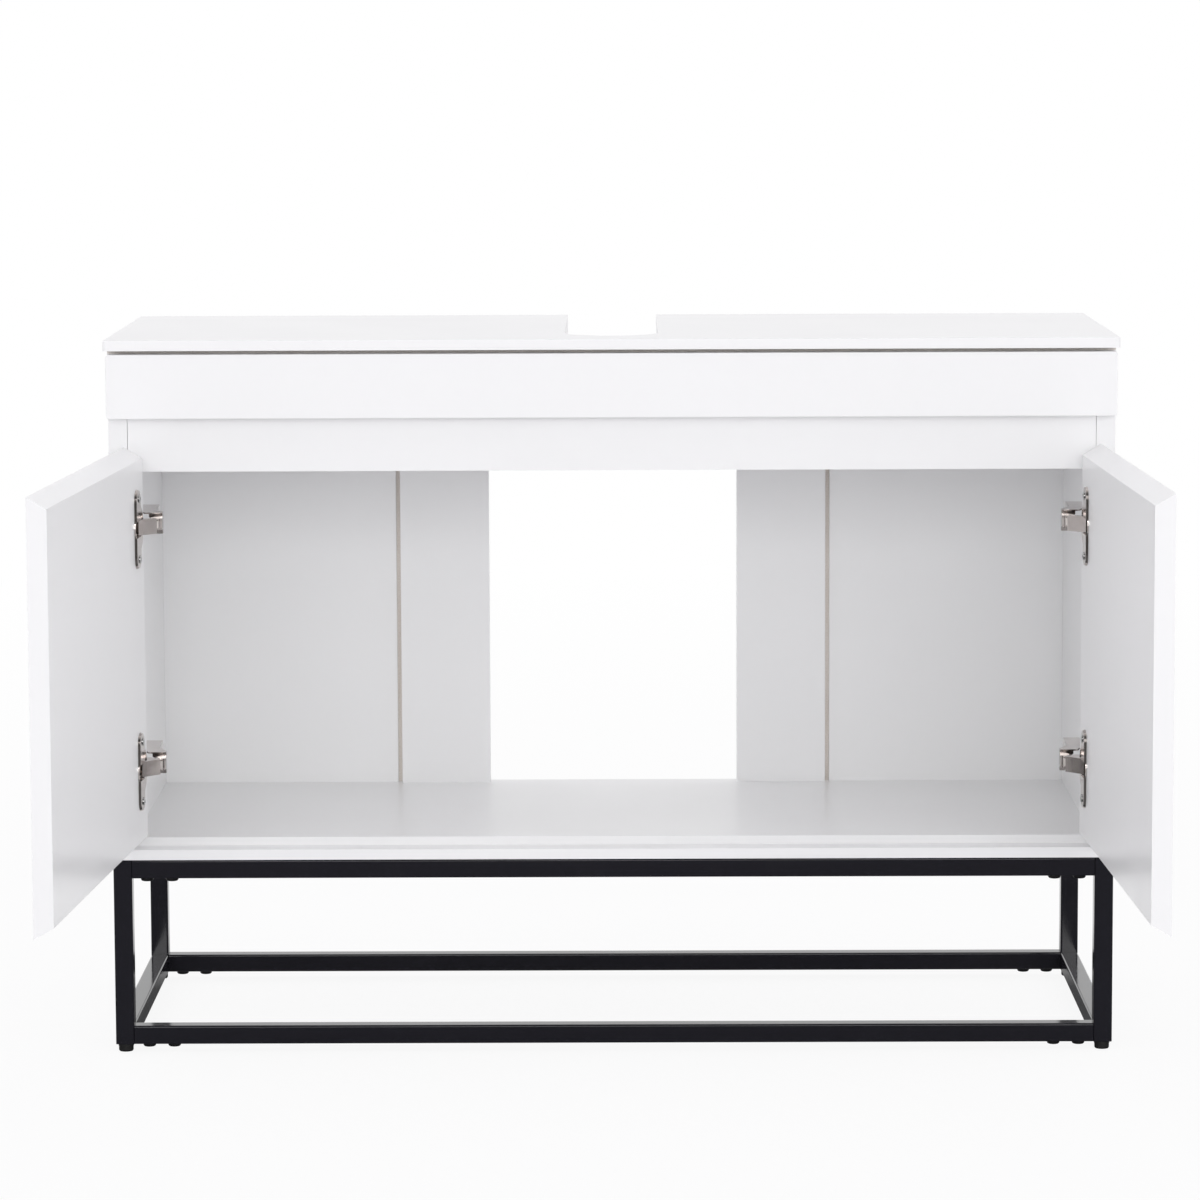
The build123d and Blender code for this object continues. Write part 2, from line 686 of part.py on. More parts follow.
def hinge_arm(side):
    """A pressed channel on the mounting plate with a narrow nose for the two link pins."""
    back_top = board + arm_back_high
    with BuildPart() as arms:
        for height in hinge_heights:
            plan = corner_plane(side, height)
            with BuildSketch(plan):
                Polygon(
                    (board + arm_front_low, arm_front),
                    (arm_top, arm_front),
                    (arm_top, arm_shoulder),
                    (back_top, arm_slope_end),
                    (back_top, arm_back),
                    (board + arm_back_low, arm_back),
                    (board + arm_back_low, arm_slope_end),
                    align=None,
                )
            extrude(amount=arm_half, both=True)
            with BuildSketch(plan):
                Polygon(
                    (board - arm_sheet, arm_front - arm_sheet),
                    (arm_top - arm_sheet, arm_front - arm_sheet),
                    (arm_top - arm_sheet, arm_shoulder - arm_sheet / 2),
                    (back_top - arm_sheet, arm_slope_end - arm_sheet / 2),
                    (back_top - arm_sheet, arm_back + arm_sheet),
                    (board - arm_sheet, arm_back + arm_sheet),
                    align=None,
                )
            extrude(amount=arm_half - arm_sheet, both=True, mode=Mode.SUBTRACT)
            for layer in paired_layers(plan, cheek_inside, cheek_thickness):
                with BuildSketch(layer):
                    with Locations(rear_arm_pin):
                        Circle(nose_pivot_radius)
                    with Locations(front_arm_pin):
                        Circle(nose_tip_radius)
                    Polygon(
                        (front_arm_pin[0] - nose_tip_radius, front_arm_pin[1]),
                        (front_arm_pin[0] + nose_tip_radius, front_arm_pin[1]),
                        (front_arm_pin[0] + nose_tip_radius, 0),
                        (rear_arm_pin[0] + nose_pivot_radius, rear_arm_pin[1]),
                        (arm_top, rear_arm_pin[1]),
                        (arm_top, arm_shoulder),
                        (arm_top - nose_low, arm_shoulder),
                        (rear_arm_pin[0] - nose_pivot_radius, rear_arm_pin[1]),
                        align=None,
                    )
                extrude(amount=cheek_thickness)
            with BuildSketch(plan):
                with Locations((arm_top - arm_sheet / 2, (nose_web_front + arm_shoulder) / 2)):
                    Rectangle(arm_sheet, arm_shoulder - nose_web_front)
            extrude(amount=nose_half, both=True)
            for layer in paired_layers(plan, nose_half, arm_half - nose_half):
                with BuildSketch(layer):
                    with Locations((arm_top - nose_low / 2, arm_front + arm_sheet / 2)):
                        Rectangle(nose_low, arm_sheet)
                extrude(amount=arm_half - nose_half)
            for pin in (rear_arm_pin, front_arm_pin):
                with BuildSketch(plan):
                    with Locations(pin):
                        Circle(arm_pin_radius)
                extrude(amount=arm_half, both=True, mode=Mode.SUBTRACT)
            for back in arm_screw_places:
                with BuildSketch(panel_plane(side, height, back)):
                    Circle(screw_radius + screw_clearance)
                extrude(amount=arm_back_high, mode=Mode.SUBTRACT)
    return arms


def arm_pins(side):
    """Each arm's pin through its nose for the rear link, and its two rivets for the front link."""
    rivet_length = front_link_half + pin_end - cheek_inside
    with BuildPart() as pins:
        for height in hinge_heights:
            plan = corner_plane(side, height)
            with BuildSketch(plan):
                with Locations(rear_arm_pin):
                    Circle(arm_pin_radius)
            extrude(amount=nose_half + pin_end, both=True)
            for layer in paired_layers(plan, cheek_inside, rivet_length):
                with BuildSketch(layer):
                    with Locations(front_arm_pin):
                        Circle(arm_pin_radius)
                extrude(amount=rivet_length)
    return pins


def mounting_plate(side):
    """A base on the side panel with a hollow rail that the arm slides over."""
    base_middle = (plate_front + plate_back) / 2
    rail_top_height = arm_back_high - arm_sheet
    rail_length = plate_back - plate_front - 2 * rail_end_margin
    with BuildPart() as plates:
        for height in hinge_heights:
            face = panel_plane(side, height, base_middle)
            with BuildSketch(face):
                RectangleRounded(plate_back - plate_front, 2 * plate_half, corner_rounding)
            extrude(amount=plate_base)
            with BuildSketch(face):
                Rectangle(rail_length, 2 * rail_half)
            extrude(amount=rail_top_height)
            with BuildSketch(face.offset(plate_base)):
                Rectangle(plate_back - plate_front, 2 * (rail_half - rail_wall))
            extrude(amount=rail_top_height - plate_base - rail_wall, mode=Mode.SUBTRACT)
            for back in plate_hole_places:
                with BuildSketch(panel_plane(side, height, back)):
                    Circle(screw_radius + screw_clearance)
                extrude(amount=plate_base, mode=Mode.SUBTRACT)
                with BuildSketch(panel_plane(side, height, back).offset(plate_base)):
                    Circle(head_access_radius)
                extrude(amount=rail_top_height, mode=Mode.SUBTRACT)
            for back in arm_screw_places:
                with BuildSketch(panel_plane(side, height, back).offset(plate_base)):
                    Circle(screw_radius)
                extrude(amount=rail_top_height, mode=Mode.SUBTRACT)
    return plates


for side, side_name in SIDES.items():
    save(hinge_cup(side), f"hinge_cups_{side_name}")
    save(cup_pins(side), f"cup_pins_{side_name}")
    save(rear_link(side), f"rear_links_{side_name}")
    save(front_link(side), f"front_links_{side_name}")
    save(hinge_arm(side), f"hinge_arms_{side_name}")
    save(arm_pins(side), f"arm_pins_{side_name}")
    save(mounting_plate(side), f"mounting_plates_{side_name}")

    flange_seats = []
    plate_seats = []
    arm_seats = []
    for height in hinge_heights:
        for step in (-flange_screw_spacing / 2, flange_screw_spacing / 2):
            seat = inner_face_plane(side, height + step, cup_screw_distance)
            flange_seats.append(seat.offset(flange_thickness))
        for back in plate_hole_places:
            plate_seats.append(panel_plane(side, height, back).offset(plate_base))
        for back in arm_screw_places:
            arm_seats.append(panel_plane(side, height, back).offset(arm_back_high))
    head = (screw_radius, screw_head_radius, screw_head_height)
    save(screw_group(flange_seats, cup_screw_length, *head), f"cup_screws_{side_name}")
    save(screw_group(plate_seats, plate_screw_length, *head), f"plate_screws_{side_name}")
    save(screw_group(arm_seats, arm_screw_length, *head), f"arm_screws_{side_name}")


# Tube frame: four legs and four side rails are welded, the long rails bolt onto stubs
rail_levels = {"lower": frame_bottom + tube_size / 2, "upper": frame_top - tube_size / 2}
rows = {"front": -leg_centre_y, "rear": leg_centre_y}
bolt_places = [
    side * (rail_end - bolt_end_distance - step) for side in SIDES for step in (0, bolt_spacing)
]

collar_bottom = foot_height - seat_gap - foot_collar_height

for side, side_name in SIDES.items():
    leg_x = -side * leg_centre_x
    for row_name, row in rows.items():
        leg = square_tube((leg_x, row, frame_bottom), (leg_x, row, frame_top))
        save(leg, f"leg_{row_name}_{side_name}")

        with BuildPart() as foot:
            with BuildSketch(Plane.XZ.offset(-row)):
                with BuildLine():
                    Polyline(
                        (leg_x, 0),
                        (leg_x + foot_pad_radius, 0),
                        (leg_x + foot_waist_radius, foot_pad_edge),
                        (leg_x + foot_waist_radius, collar_bottom),
                        (leg_x + foot_radius, collar_bottom),
                        (leg_x + foot_radius, foot_height - seat_gap),
                        (leg_x + foot_stem_radius, foot_height - seat_gap),
                        (leg_x + foot_stem_radius, foot_height + foot_stem_length),
                        (leg_x, foot_height + foot_stem_length),
                        close=True,
                    )
                make_face()
            revolve(axis=Axis((leg_x, row, 0), (0, 0, 1)))
        save(foot, f"foot_{row_name}_{side_name}")

    for level_name, level in rail_levels.items():
        ends = (
            (leg_x, -leg_centre_y + tube_size / 2, level),
            (leg_x, leg_centre_y - tube_size / 2, level),
        )
        side_rail = square_tube(*ends)
        if level_name == "upper":
            with BuildPart() as drilled_rail:
                add(side_rail.part)
                with BuildSketch(Plane.XY.offset(frame_top)):
                    with Locations((leg_x, 0)):
                        with GridLocations(0, frame_screw_spacing, 1, 2):
                            Circle(frame_screw_radius + screw_clearance)
                extrude(amount=-tube_size, mode=Mode.SUBTRACT)
            side_rail = drilled_rail
        save(side_rail, f"side_rail_{level_name}_{side_name}")

    with BuildPart() as rail_stubs:
        for row in rows.values():
            for level in rail_levels.values():
                with BuildSketch(Plane(origin=(-side * rail_end, row, level), z_dir=(side, 0, 0))):
                    Rectangle(stub_size, stub_size)
                extrude(amount=stub_length)
                for place in bolt_places:
                    with BuildSketch(Plane.XY.offset(level - tube_size / 2)):
                        with Locations((place, row)):
                            Circle(bolt_radius)
                    extrude(amount=tube_size, mode=Mode.SUBTRACT)
    save(rail_stubs, f"rail_stubs_{side_name}")

for row_name, row in rows.items():
    for level_name, level in rail_levels.items():
        blank = square_tube((-rail_end, row, level), (rail_end, row, level))
        with BuildPart() as long_rail:
            add(blank.part)
            with BuildSketch(Plane.XY.offset(level - tube_size / 2)):
                for place in bolt_places:
                    with Locations((place, row)):
                        Circle(bolt_radius + screw_clearance)
            extrude(amount=tube_size / 2, mode=Mode.SUBTRACT)
        save(long_rail, f"long_rail_{level_name}_{row_name}")

with BuildPart() as frame_bolts:
    for row in rows.values():
        for level in rail_levels.values():
            seat_z = level - tube_size / 2
            face_z = seat_z - bolt_head_height
            for place in bolt_places:
                rim = (place + bolt_head_radius, seat_z - bolt_head_rim)
                face_edge = (place + bolt_face_radius, face_z)
                with BuildSketch(Plane.XZ.offset(-row)):
                    with BuildLine():
                        Polyline(face_edge, (place, face_z), (place, seat_z), (rim[0], seat_z), rim)
                        TangentArc(rim, face_edge, tangent=(0, -1))
                    make_face()
                revolve(axis=Axis((place, row, 0), (0, 0, 1)))
                with BuildSketch(Plane.XY.offset(face_z)):
                    with Locations((place, row)):
                        RegularPolygon(bolt_socket_radius, SOCKET_SIDES)
                extrude(amount=bolt_socket_depth, mode=Mode.SUBTRACT)
                with BuildSketch(Plane.XY.offset(seat_z)):
                    with Locations((place, row)):
                        Circle(bolt_radius)
                extrude(amount=tube_size - tube_wall)
save(frame_bolts, "frame_bolts")

with BuildPart() as foot_inserts:
    with BuildSketch(Plane.XY.offset(frame_bottom)):
        with GridLocations(2 * leg_centre_x, 2 * leg_centre_y, 2, 2):
            Rectangle(tube_size - 2 * tube_wall, tube_size - 2 * tube_wall)
            Circle(foot_stem_radius + screw_clearance, mode=Mode.SUBTRACT)
    extrude(amount=insert_length)
save(foot_inserts, "foot_inserts")


# Screws and dowels that hold the carcass together and to its frame
frame_seats = [
    Plane(
        origin=(-side * leg_centre_x, row, frame_top - tube_size),
        x_dir=(1, 0, 0),
        z_dir=(0, 0, -1),
    )
    for side in SIDES
    for row in (-frame_screw_spacing / 2, frame_screw_spacing / 2)
]
frame_screws = screw_group(
    frame_seats,
    frame_screw_length,
    frame_screw_radius,
    frame_screw_head_radius,
    frame_screw_head_height,
)
save(frame_screws, "frame_screws")

fascia_screw_places = [
    (index - (fascia_screw_count - 1) / 2) * fascia_screw_spacing
    for index in range(fascia_screw_count)
]
fascia_seats = [
    Plane(
        origin=(place, carcass_front + board, fascia_screw_z),
        x_dir=(1, 0, 0),
        z_dir=(0, 1, 0),
    )
    for place in fascia_screw_places
]
fascia_screws = screw_group(
    fascia_seats, fascia_screw_length, screw_radius, screw_head_radius, screw_head_height
)
save(fascia_screws, "fascia_screws")

side_dowels = []
rail_dowels = []
stile_dowels = []
for side in SIDES:
    for row in (-side_dowel_spacing / 2, side_dowel_spacing / 2):
        spot = (-side * panel_middle_x, row)
        side_dowels.append(Plane(origin=(*spot, floor_lip_top - dowel_shallow)))
        side_dowels.append(Plane(origin=(*spot, top_lip_bottom + dowel_shallow - dowel_length)))
    for step in (-rail_dowel_spacing / 2, rail_dowel_spacing / 2):
        rail_dowels.append(panel_plane(side, rail_middle_z + step, board / 2).offset(-dowel_seat))
for spot in stile_dowel_spots:
    stile_dowels.append(Plane(origin=(*spot, floor_top - dowel_seat)))
    stile_dowels.append(Plane(origin=(*spot, top_underside + dowel_seat - dowel_length)))
save(dowel_group(side_dowels), "panel_dowels")
save(dowel_group(rail_dowels), "rail_dowels")
save(dowel_group(stile_dowels), "stile_dowels")
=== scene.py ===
import json
import math

import bmesh
import bpy
from mathutils import Matrix, Vector


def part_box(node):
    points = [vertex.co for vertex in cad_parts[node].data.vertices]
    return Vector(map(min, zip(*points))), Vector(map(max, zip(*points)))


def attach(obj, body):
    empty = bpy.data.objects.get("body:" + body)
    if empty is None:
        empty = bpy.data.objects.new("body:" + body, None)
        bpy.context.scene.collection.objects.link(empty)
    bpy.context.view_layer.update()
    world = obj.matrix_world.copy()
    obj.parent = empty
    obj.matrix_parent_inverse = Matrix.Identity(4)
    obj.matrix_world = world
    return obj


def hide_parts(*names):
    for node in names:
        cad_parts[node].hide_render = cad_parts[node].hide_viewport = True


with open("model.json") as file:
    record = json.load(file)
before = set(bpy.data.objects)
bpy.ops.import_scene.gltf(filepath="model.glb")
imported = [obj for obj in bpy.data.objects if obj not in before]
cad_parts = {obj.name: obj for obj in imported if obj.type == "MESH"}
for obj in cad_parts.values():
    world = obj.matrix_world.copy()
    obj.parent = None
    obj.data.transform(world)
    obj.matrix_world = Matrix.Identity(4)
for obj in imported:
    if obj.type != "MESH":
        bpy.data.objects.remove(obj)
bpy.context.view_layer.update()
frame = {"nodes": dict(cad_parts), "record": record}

# Lengths are in metres and in the frame of the CAD part
MM = 0.001
NODES = frame["nodes"]
BODIES = frame["record"]["behaviour"]["bodies"]
BODY_OF = {node: body for body, members in BODIES.items() for node in members}
SIDES = {"left": -1, "right": 1}

WHITE = (1.0, 1.0, 1.0, 1.0)

# Kinds of socket
COLOUR = "NodeSocketColor"
FLOAT = "NodeSocketFloat"
VECTOR = "NodeSocketVector"

# Places read from the CAD part
top_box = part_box("top_board")
fascia_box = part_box("fascia_panel")
carcass_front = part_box("front_rail")[0].y


# Node helpers


def put(tree, kind, **values):
    """Adds a node and sets its properties."""
    node = tree.nodes.new(kind)
    for key, value in values.items():
        setattr(node, key, value)
    return node


def feed(tree, socket, value):
    """Links a socket to another one, or sets it to a plain value."""
    if isinstance(value, bpy.types.NodeSocket):
        tree.links.new(value, socket)
    else:
        socket.default_value = value


def math_node(tree, operation, *values):
    """One step of arithmetic on numbers or sockets."""
    node = put(tree, "ShaderNodeMath", operation=operation)
    for index, value in enumerate(values):
        feed(tree, node.inputs[index], value)
    return node.outputs[0]


def vector_node(tree, x=0.0, y=0.0, z=0.0):
    """A vector from three numbers or sockets."""
    node = put(tree, "ShaderNodeCombineXYZ")
    for index, value in enumerate((x, y, z)):
        feed(tree, node.inputs[index], value)
    return node.outputs[0]


def stretched(tree, vector, factors):
    """Coordinates multiplied by a factor on each axis."""
    node = put(tree, "ShaderNodeVectorMath", operation="MULTIPLY")
    feed(tree, node.inputs[0], vector)
    feed(tree, node.inputs[1], factors)
    return node.outputs[0]


def noise_node(tree, vector, scale, detail=2.0, roughness=0.5):
    """Cloudy values between 0 and 1."""
    node = put(tree, "ShaderNodeTexNoise")
    feed(tree, node.inputs["Vector"], vector)
    feed(tree, node.inputs["Scale"], scale)
    feed(tree, node.inputs["Detail"], detail)
    feed(tree, node.inputs["Roughness"], roughness)
    return node.outputs["Fac"]


def range_node(tree, value, low, high, to_low, to_high):
    """A value carried from one range to another, and kept inside it."""
    node = put(tree, "ShaderNodeMapRange")
    for name, item in (
        ("Value", value),
        ("From Min", low),
        ("From Max", high),
        ("To Min", to_low),
        ("To Max", to_high),
    ):
        feed(tree, node.inputs[name], item)
    return node.outputs["Result"]


def mix_colour(tree, factor, first, second, blend="MIX"):
    """Two colours blended by a factor, through the node's colour sockets."""
    node = put(tree, "ShaderNodeMix", data_type="RGBA", blend_type=blend)
    feed(tree, node.inputs["Factor"], factor)
    feed(tree, node.inputs[6], first)
    feed(tree, node.inputs[7], second)
    return node.outputs[2]


def bump_node(tree, height, distance):
    """A normal tilted by the slope of a height."""
    node = put(tree, "ShaderNodeBump")
    feed(tree, node.inputs["Height"], height)
    feed(tree, node.inputs["Distance"], distance)
    return node.outputs["Normal"]


def object_coordinates(tree):
    """A piece's own coordinates, in metres."""
    return put(tree, "ShaderNodeTexCoord").outputs["Object"]


def cleared_tree(owner):
    """The emptied node tree of a material or of the world."""
    owner.use_nodes = True
    owner.node_tree.nodes.clear()
    return owner.node_tree


def mix_shaders(tree, share, first, second):
    """Two shaders blended by a share."""
    node = put(tree, "ShaderNodeMixShader")
    for index, item in enumerate((share, first, second)):
        tree.links.new(item, node.inputs[index])
    return node.outputs[0]


def new_object(name, data):
    """An object in the scene, at its origin."""
    item = bpy.data.objects.new(name, data)
    bpy.context.scene.collection.objects.link(item)
    return item


# Materials


def group_of(name, inputs):
    """An empty shader group with its inputs, which puts out colour, roughness and normal."""
    tree = bpy.data.node_groups.new(name, "ShaderNodeTree")
    for label, kind, value in inputs:
        socket = tree.interface.new_socket(label, in_out="INPUT", socket_type=kind)
        socket.default_value = value
    for label, kind in (("Color", COLOUR), ("Roughness", FLOAT), ("Normal", VECTOR)):
        tree.interface.new_socket(label, in_out="OUTPUT", socket_type=kind)
    return tree, put(tree, "NodeGroupInput"), put(tree, "NodeGroupOutput")


def put_out(tree, end, colour, roughness, normal):
    """Links what a shader group puts out."""
    for label, value in (("Color", colour), ("Roughness", roughness), ("Normal", normal)):
        tree.links.new(value, end.inputs[label])


def lacquer_group():
    """Sprayed lacquer: orange peel, slow drift of tone and duller hand marks."""
    tree, start, end = group_of(
        "sprayed_lacquer",
        (
            ("Base", COLOUR, WHITE),
            ("Drift", FLOAT, 0.01),
            ("Peel Scale", FLOAT, 420.0),
            ("Peel Height", FLOAT, 0.000004),
            ("Gloss Low", FLOAT, 0.3),
            ("Gloss High", FLOAT, 0.4),
        ),
    )
    value = start.outputs
    place = object_coordinates(tree)
    cloud = noise_node(tree, place, scale=3.1, detail=3.0)
    fine = noise_node(tree, place, scale=90.0)
    fine_share = 0.25
    mottle = math_node(tree, "MULTIPLY_ADD", fine, fine_share, cloud)
    darkest = math_node(tree, "SUBTRACT", 1.0, value["Drift"])
    tone = range_node(tree, mottle, low=0.45, high=0.8, to_low=darkest, to_high=1.0)
    shade = put(tree, "ShaderNodeCombineColor")
    for channel in range(3):
        feed(tree, shade.inputs[channel], tone)
    colour = mix_colour(tree, 1.0, value["Base"], shade.outputs[0], "MULTIPLY")
    marks = noise_node(tree, place, scale=11.0, detail=5.0, roughness=0.62)
    rough = range_node(tree, marks, 0.35, 0.7, value["Gloss Low"], value["Gloss High"])
    peel = noise_node(tree, place, value["Peel Scale"], detail=1.5, roughness=0.45)
    put_out(tree, end, colour, rough, bump_node(tree, peel, value["Peel Height"]))
    return tree


def powder_group():
    """Powder coat: a fine pebbled skin with rubbed patches."""
    tree, start, end = group_of(
        "powder_coat",
        (
            ("Base", COLOUR, WHITE),
            ("Rubbed", COLOUR, WHITE),
            ("Grain Scale", FLOAT, 1500.0),
            ("Grain Height", FLOAT, 0.00001),
            ("Gloss Low", FLOAT, 0.35),
            ("Gloss High", FLOAT, 0.5),
        ),
    )
    value = start.outputs
    place = object_coordinates(tree)
    patches = noise_node(tree, place, scale=26.0, detail=4.0, roughness=0.6)
    rub = range_node(tree, patches, low=0.55, high=0.8, to_low=0.0, to_high=0.6)
    colour = mix_colour(tree, rub, value["Base"], value["Rubbed"])
    cells = put(tree, "ShaderNodeTexVoronoi", feature="SMOOTH_F1")
    feed(tree, cells.inputs["Vector"], place)
    feed(tree, cells.inputs["Scale"], value["Grain Scale"])
    soft = noise_node(tree, place, scale=520.0)
    height = math_node(tree, "ADD", cells.outputs["Distance"], soft)
    rough = range_node(tree, patches, 0.3, 0.75, value["Gloss Low"], value["Gloss High"])
    put_out(tree, end, colour, rough, bump_node(tree, height, value["Grain Height"]))
    return tree


def metal_group():
    """Plated steel: cloudy plating, its stains and fine upright lines."""
    tree, start, end = group_of(
        "plated_steel",
        (
            ("Base", COLOUR, WHITE),
            ("Stain", COLOUR, WHITE),
            ("Line Scale", FLOAT, 900.0),
            ("Line Height", FLOAT, 0.000004),
            ("Gloss Low", FLOAT, 0.18),
            ("Gloss High", FLOAT, 0.36),
        ),
    )
    value = start.outputs
    place = object_coordinates(tree)
    clouds = noise_node(tree, place, scale=140.0, detail=4.0, roughness=0.6)
    stain = range_node(tree, clouds, low=0.5, high=0.78, to_low=0.0, to_high=0.75)
    colour = mix_colour(tree, stain, value["Base"], value["Stain"])
    upright_lines = (1.0, 1.0, 0.06)
    lines = noise_node(tree, stretched(tree, place, upright_lines), value["Line Scale"])
    rough = range_node(tree, clouds, 0.3, 0.75, value["Gloss Low"], value["Gloss High"])
    put_out(tree, end, colour, rough, bump_node(tree, lines, value["Line Height"]))
    return tree


def fibre_group():
    """Raw fibres: flecks stretched along one axis, for fibreboard and for beech."""
    tree, start, end = group_of(
        "wood_fibres",
        (
            ("Light", COLOUR, WHITE),
            ("Dark", COLOUR, WHITE),
            ("Stretch", VECTOR, (1.0, 1.0, 1.0)),
            ("Fleck Scale", FLOAT, 800.0),
            ("Fleck Height", FLOAT, 0.00002),
        ),
    )
    value = start.outputs
    place = object_coordinates(tree)
    drawn = stretched(tree, place, value["Stretch"])
    flecks = noise_node(tree, drawn, value["Fleck Scale"], detail=4.0, roughness=0.65)
    broad = noise_node(tree, place, scale=35.0)
    broad_share = 0.35
    share = math_node(tree, "MULTIPLY_ADD", broad, broad_share, flecks)
    factor = range_node(tree, share, low=0.45, high=0.95, to_low=0.0, to_high=1.0)
    colour = mix_colour(tree, factor, value["Light"], value["Dark"])
    rough = range_node(tree, flecks, low=0.2, high=0.8, to_low=0.72, to_high=0.92)
    put_out(tree, end, colour, rough, bump_node(tree, flecks, value["Fleck Height"]))
    return tree


def material_of(name, group, settings, shader_values):
    """A Principled material whose colour, roughness and normal come from a shared group."""
    material = bpy.data.materials.new(name)
    tree = cleared_tree(material)
    output = put(tree, "ShaderNodeOutputMaterial")
    shader = put(tree, "ShaderNodeBsdfPrincipled")
    effect = put(tree, "ShaderNodeGroup", node_tree=group)
    for label, value in settings.items():
        effect.inputs[label].default_value = value
    for label, value in shader_values.items():
        shader.inputs[label].default_value = value
    for label, socket in (("Color", "Base Color"), ("Roughness", "Roughness"), ("Normal", "Normal")):
        tree.links.new(effect.outputs[label], shader.inputs[socket])
    tree.links.new(shader.outputs["BSDF"], output.inputs["Surface"])
    return material


lacquer = lacquer_group()
powder = powder_group()
metal = metal_group()
fibres = fibre_group()

white_lacquer = material_of(
    "white_lacquer",
    lacquer,
    {"Base": (0.94, 0.94, 0.943, 1.0), "Drift": 0.012},
    {"IOR": 1.5, "Coat Weight": 0.25, "Coat Roughness": 0.22},
)
thin_coat = material_of(
    "thinly_sprayed_board",
    fibres,
    {"Light": (0.92, 0.88, 0.84, 1.0), "Dark": (0.82, 0.76, 0.7, 1.0)},
    {"Specular IOR Level": 0.25},
)
black_coat = material_of(
    "black_powder_coat",
    powder,
    {
        "Base": (0.0105, 0.0102, 0.0145, 1.0),
        "Rubbed": (0.014, 0.0135, 0.018, 1.0),
        "Gloss Low": 0.08,
        "Gloss High": 0.15,
    },
    {"IOR": 1.5, "Specular IOR Level": 0.55},
)
bolt_steel = material_of(
    "black_bolt_steel",
    metal,
    {
        "Base": (0.02, 0.02, 0.022, 1.0),
        "Stain": (0.045, 0.042, 0.04, 1.0),
        "Gloss Low": 0.28,
        "Gloss High": 0.5,
    },
    {"Metallic": 0.6},
)
black_plastic = material_of(
    "black_plastic",
    powder,
    {
        "Base": (0.012, 0.012, 0.012, 1.0),
        "Rubbed": (0.02, 0.02, 0.02, 1.0),
        "Gloss Low": 0.42,
        "Gloss High": 0.6,
    },
    {"IOR": 1.46},
)
beech = material_of(
    "beech",
    fibres,
    {
        "Light": (0.62, 0.42, 0.25, 1.0),
        "Dark": (0.42, 0.25, 0.13, 1.0),
        "Stretch": (1.0, 1.0, 0.08),
    },
    {"Specular IOR Level": 0.3},
)
zinc = material_of(
    "zinc_screws",
    metal,
    {"Base": (0.6, 0.6, 0.6, 1.0), "Stain": (0.42, 0.41, 0.39, 1.0)},
    {"Metallic": 1.0},
)
nickel = material_of(
    "nickel_steel",
    metal,
    {
        "Base": (0.61, 0.56, 0.535, 1.0),
        "Stain": (0.5, 0.45, 0.42, 1.0),
        "Gloss Low": 0.09,
        "Gloss High": 0.17,
    },
    {"Metallic": 1.0},
)


# Finished copies of the CAD pieces

board_bevel = 0.55 * MM
metal_bevel = 0.18 * MM
bevel_segments = 3
face_weight = 80  # how far the large faces decide the shading of a bevel
sharp_angle = math.radians(32)
flat_angle = math.radians(0.6)
merge_distance = 0.002 * MM
order_digits = 5  # solids are put in order by their middles, rounded to 0.01 mm
rail_end_gap = 0.35 * MM  # open joint between the front rail and a side panel
flange_draft = 0.7 * MM  # lean of a hinge flange's sides over its thickness
screw_hole_reach = 3.7 * MM  # edges this near a cup screw's middle belong to its hole
level_reach = 0.05 * MM  # corners and faces this close in height are on one level
faces_along = 0.999  # cosine over which a face looks along an axis
faces_across = 0.1  # cosine under which it looks across it
faces_mainly = 0.5  # cosine over which it looks mainly along it


def solids_of(node):
    """The corner points of each separate solid in a CAD mesh."""
    work = bmesh.new()
    work.from_mesh(NODES[node].data)
    bmesh.ops.remove_doubles(work, verts=work.verts, dist=merge_distance)
    waiting = set(work.verts)
    solids = []
    for first in work.verts:
        if first not in waiting:
            continue
        waiting.remove(first)
        found = [first]
        for corner in found:
            for edge in corner.link_edges:
                other = edge.other_vert(corner)
                if other in waiting:
                    waiting.remove(other)
                    found.append(other)
        solids.append([corner.co.copy() for corner in found])
    work.free()
    solids.sort(
        key=lambda points: tuple(round(value, order_digits) for value in points_middle(points))
    )
    return solids


def points_middle(points):
    """The mean of some points."""
    return sum(points, Vector()) / len(points)


def door_inner_normal(side):
    """The way the inner face of an open door looks: towards the cabinet."""
    door = NODES[f"door_{side}"].data
    faces = [face for face in door.polygons if face.normal.x * SIDES[side] < 0]
    return max(faces, key=lambda face: face.area).normal.copy()


def cut_at_gap(work):
    """Cuts a side panel's faces level with the fascia's upper edge."""
    bmesh.ops.bisect_plane(
        work,
        geom=[*work.verts, *work.edges, *work.faces],
        plane_co=(0, 0, fascia_box[1].z),
        plane_no=(0, 0, 1),
    )


def open_end_joints(work):
    """Pulls in a rail's ends, so that its joints with the side panels show."""
    reach = max(corner.co.x for corner in work.verts) - rail_end_gap
    for corner in work.verts:
        if abs(corner.co.x) > reach:
            corner.co.x -= math.copysign(rail_end_gap, corner.co.x)


def cup_middles(work, inner):
    """The middles of the hinge cups' floors, which are their deepest faces."""
    level_faces = [face for face in work.faces if face.normal.dot(inner) > faces_along]
    floors = [face.calc_center_median() for face in level_faces]
    deepest = min(middle.dot(inner) for middle in floors)
    return [middle for middle in floors if middle.dot(inner) < deepest + level_reach]


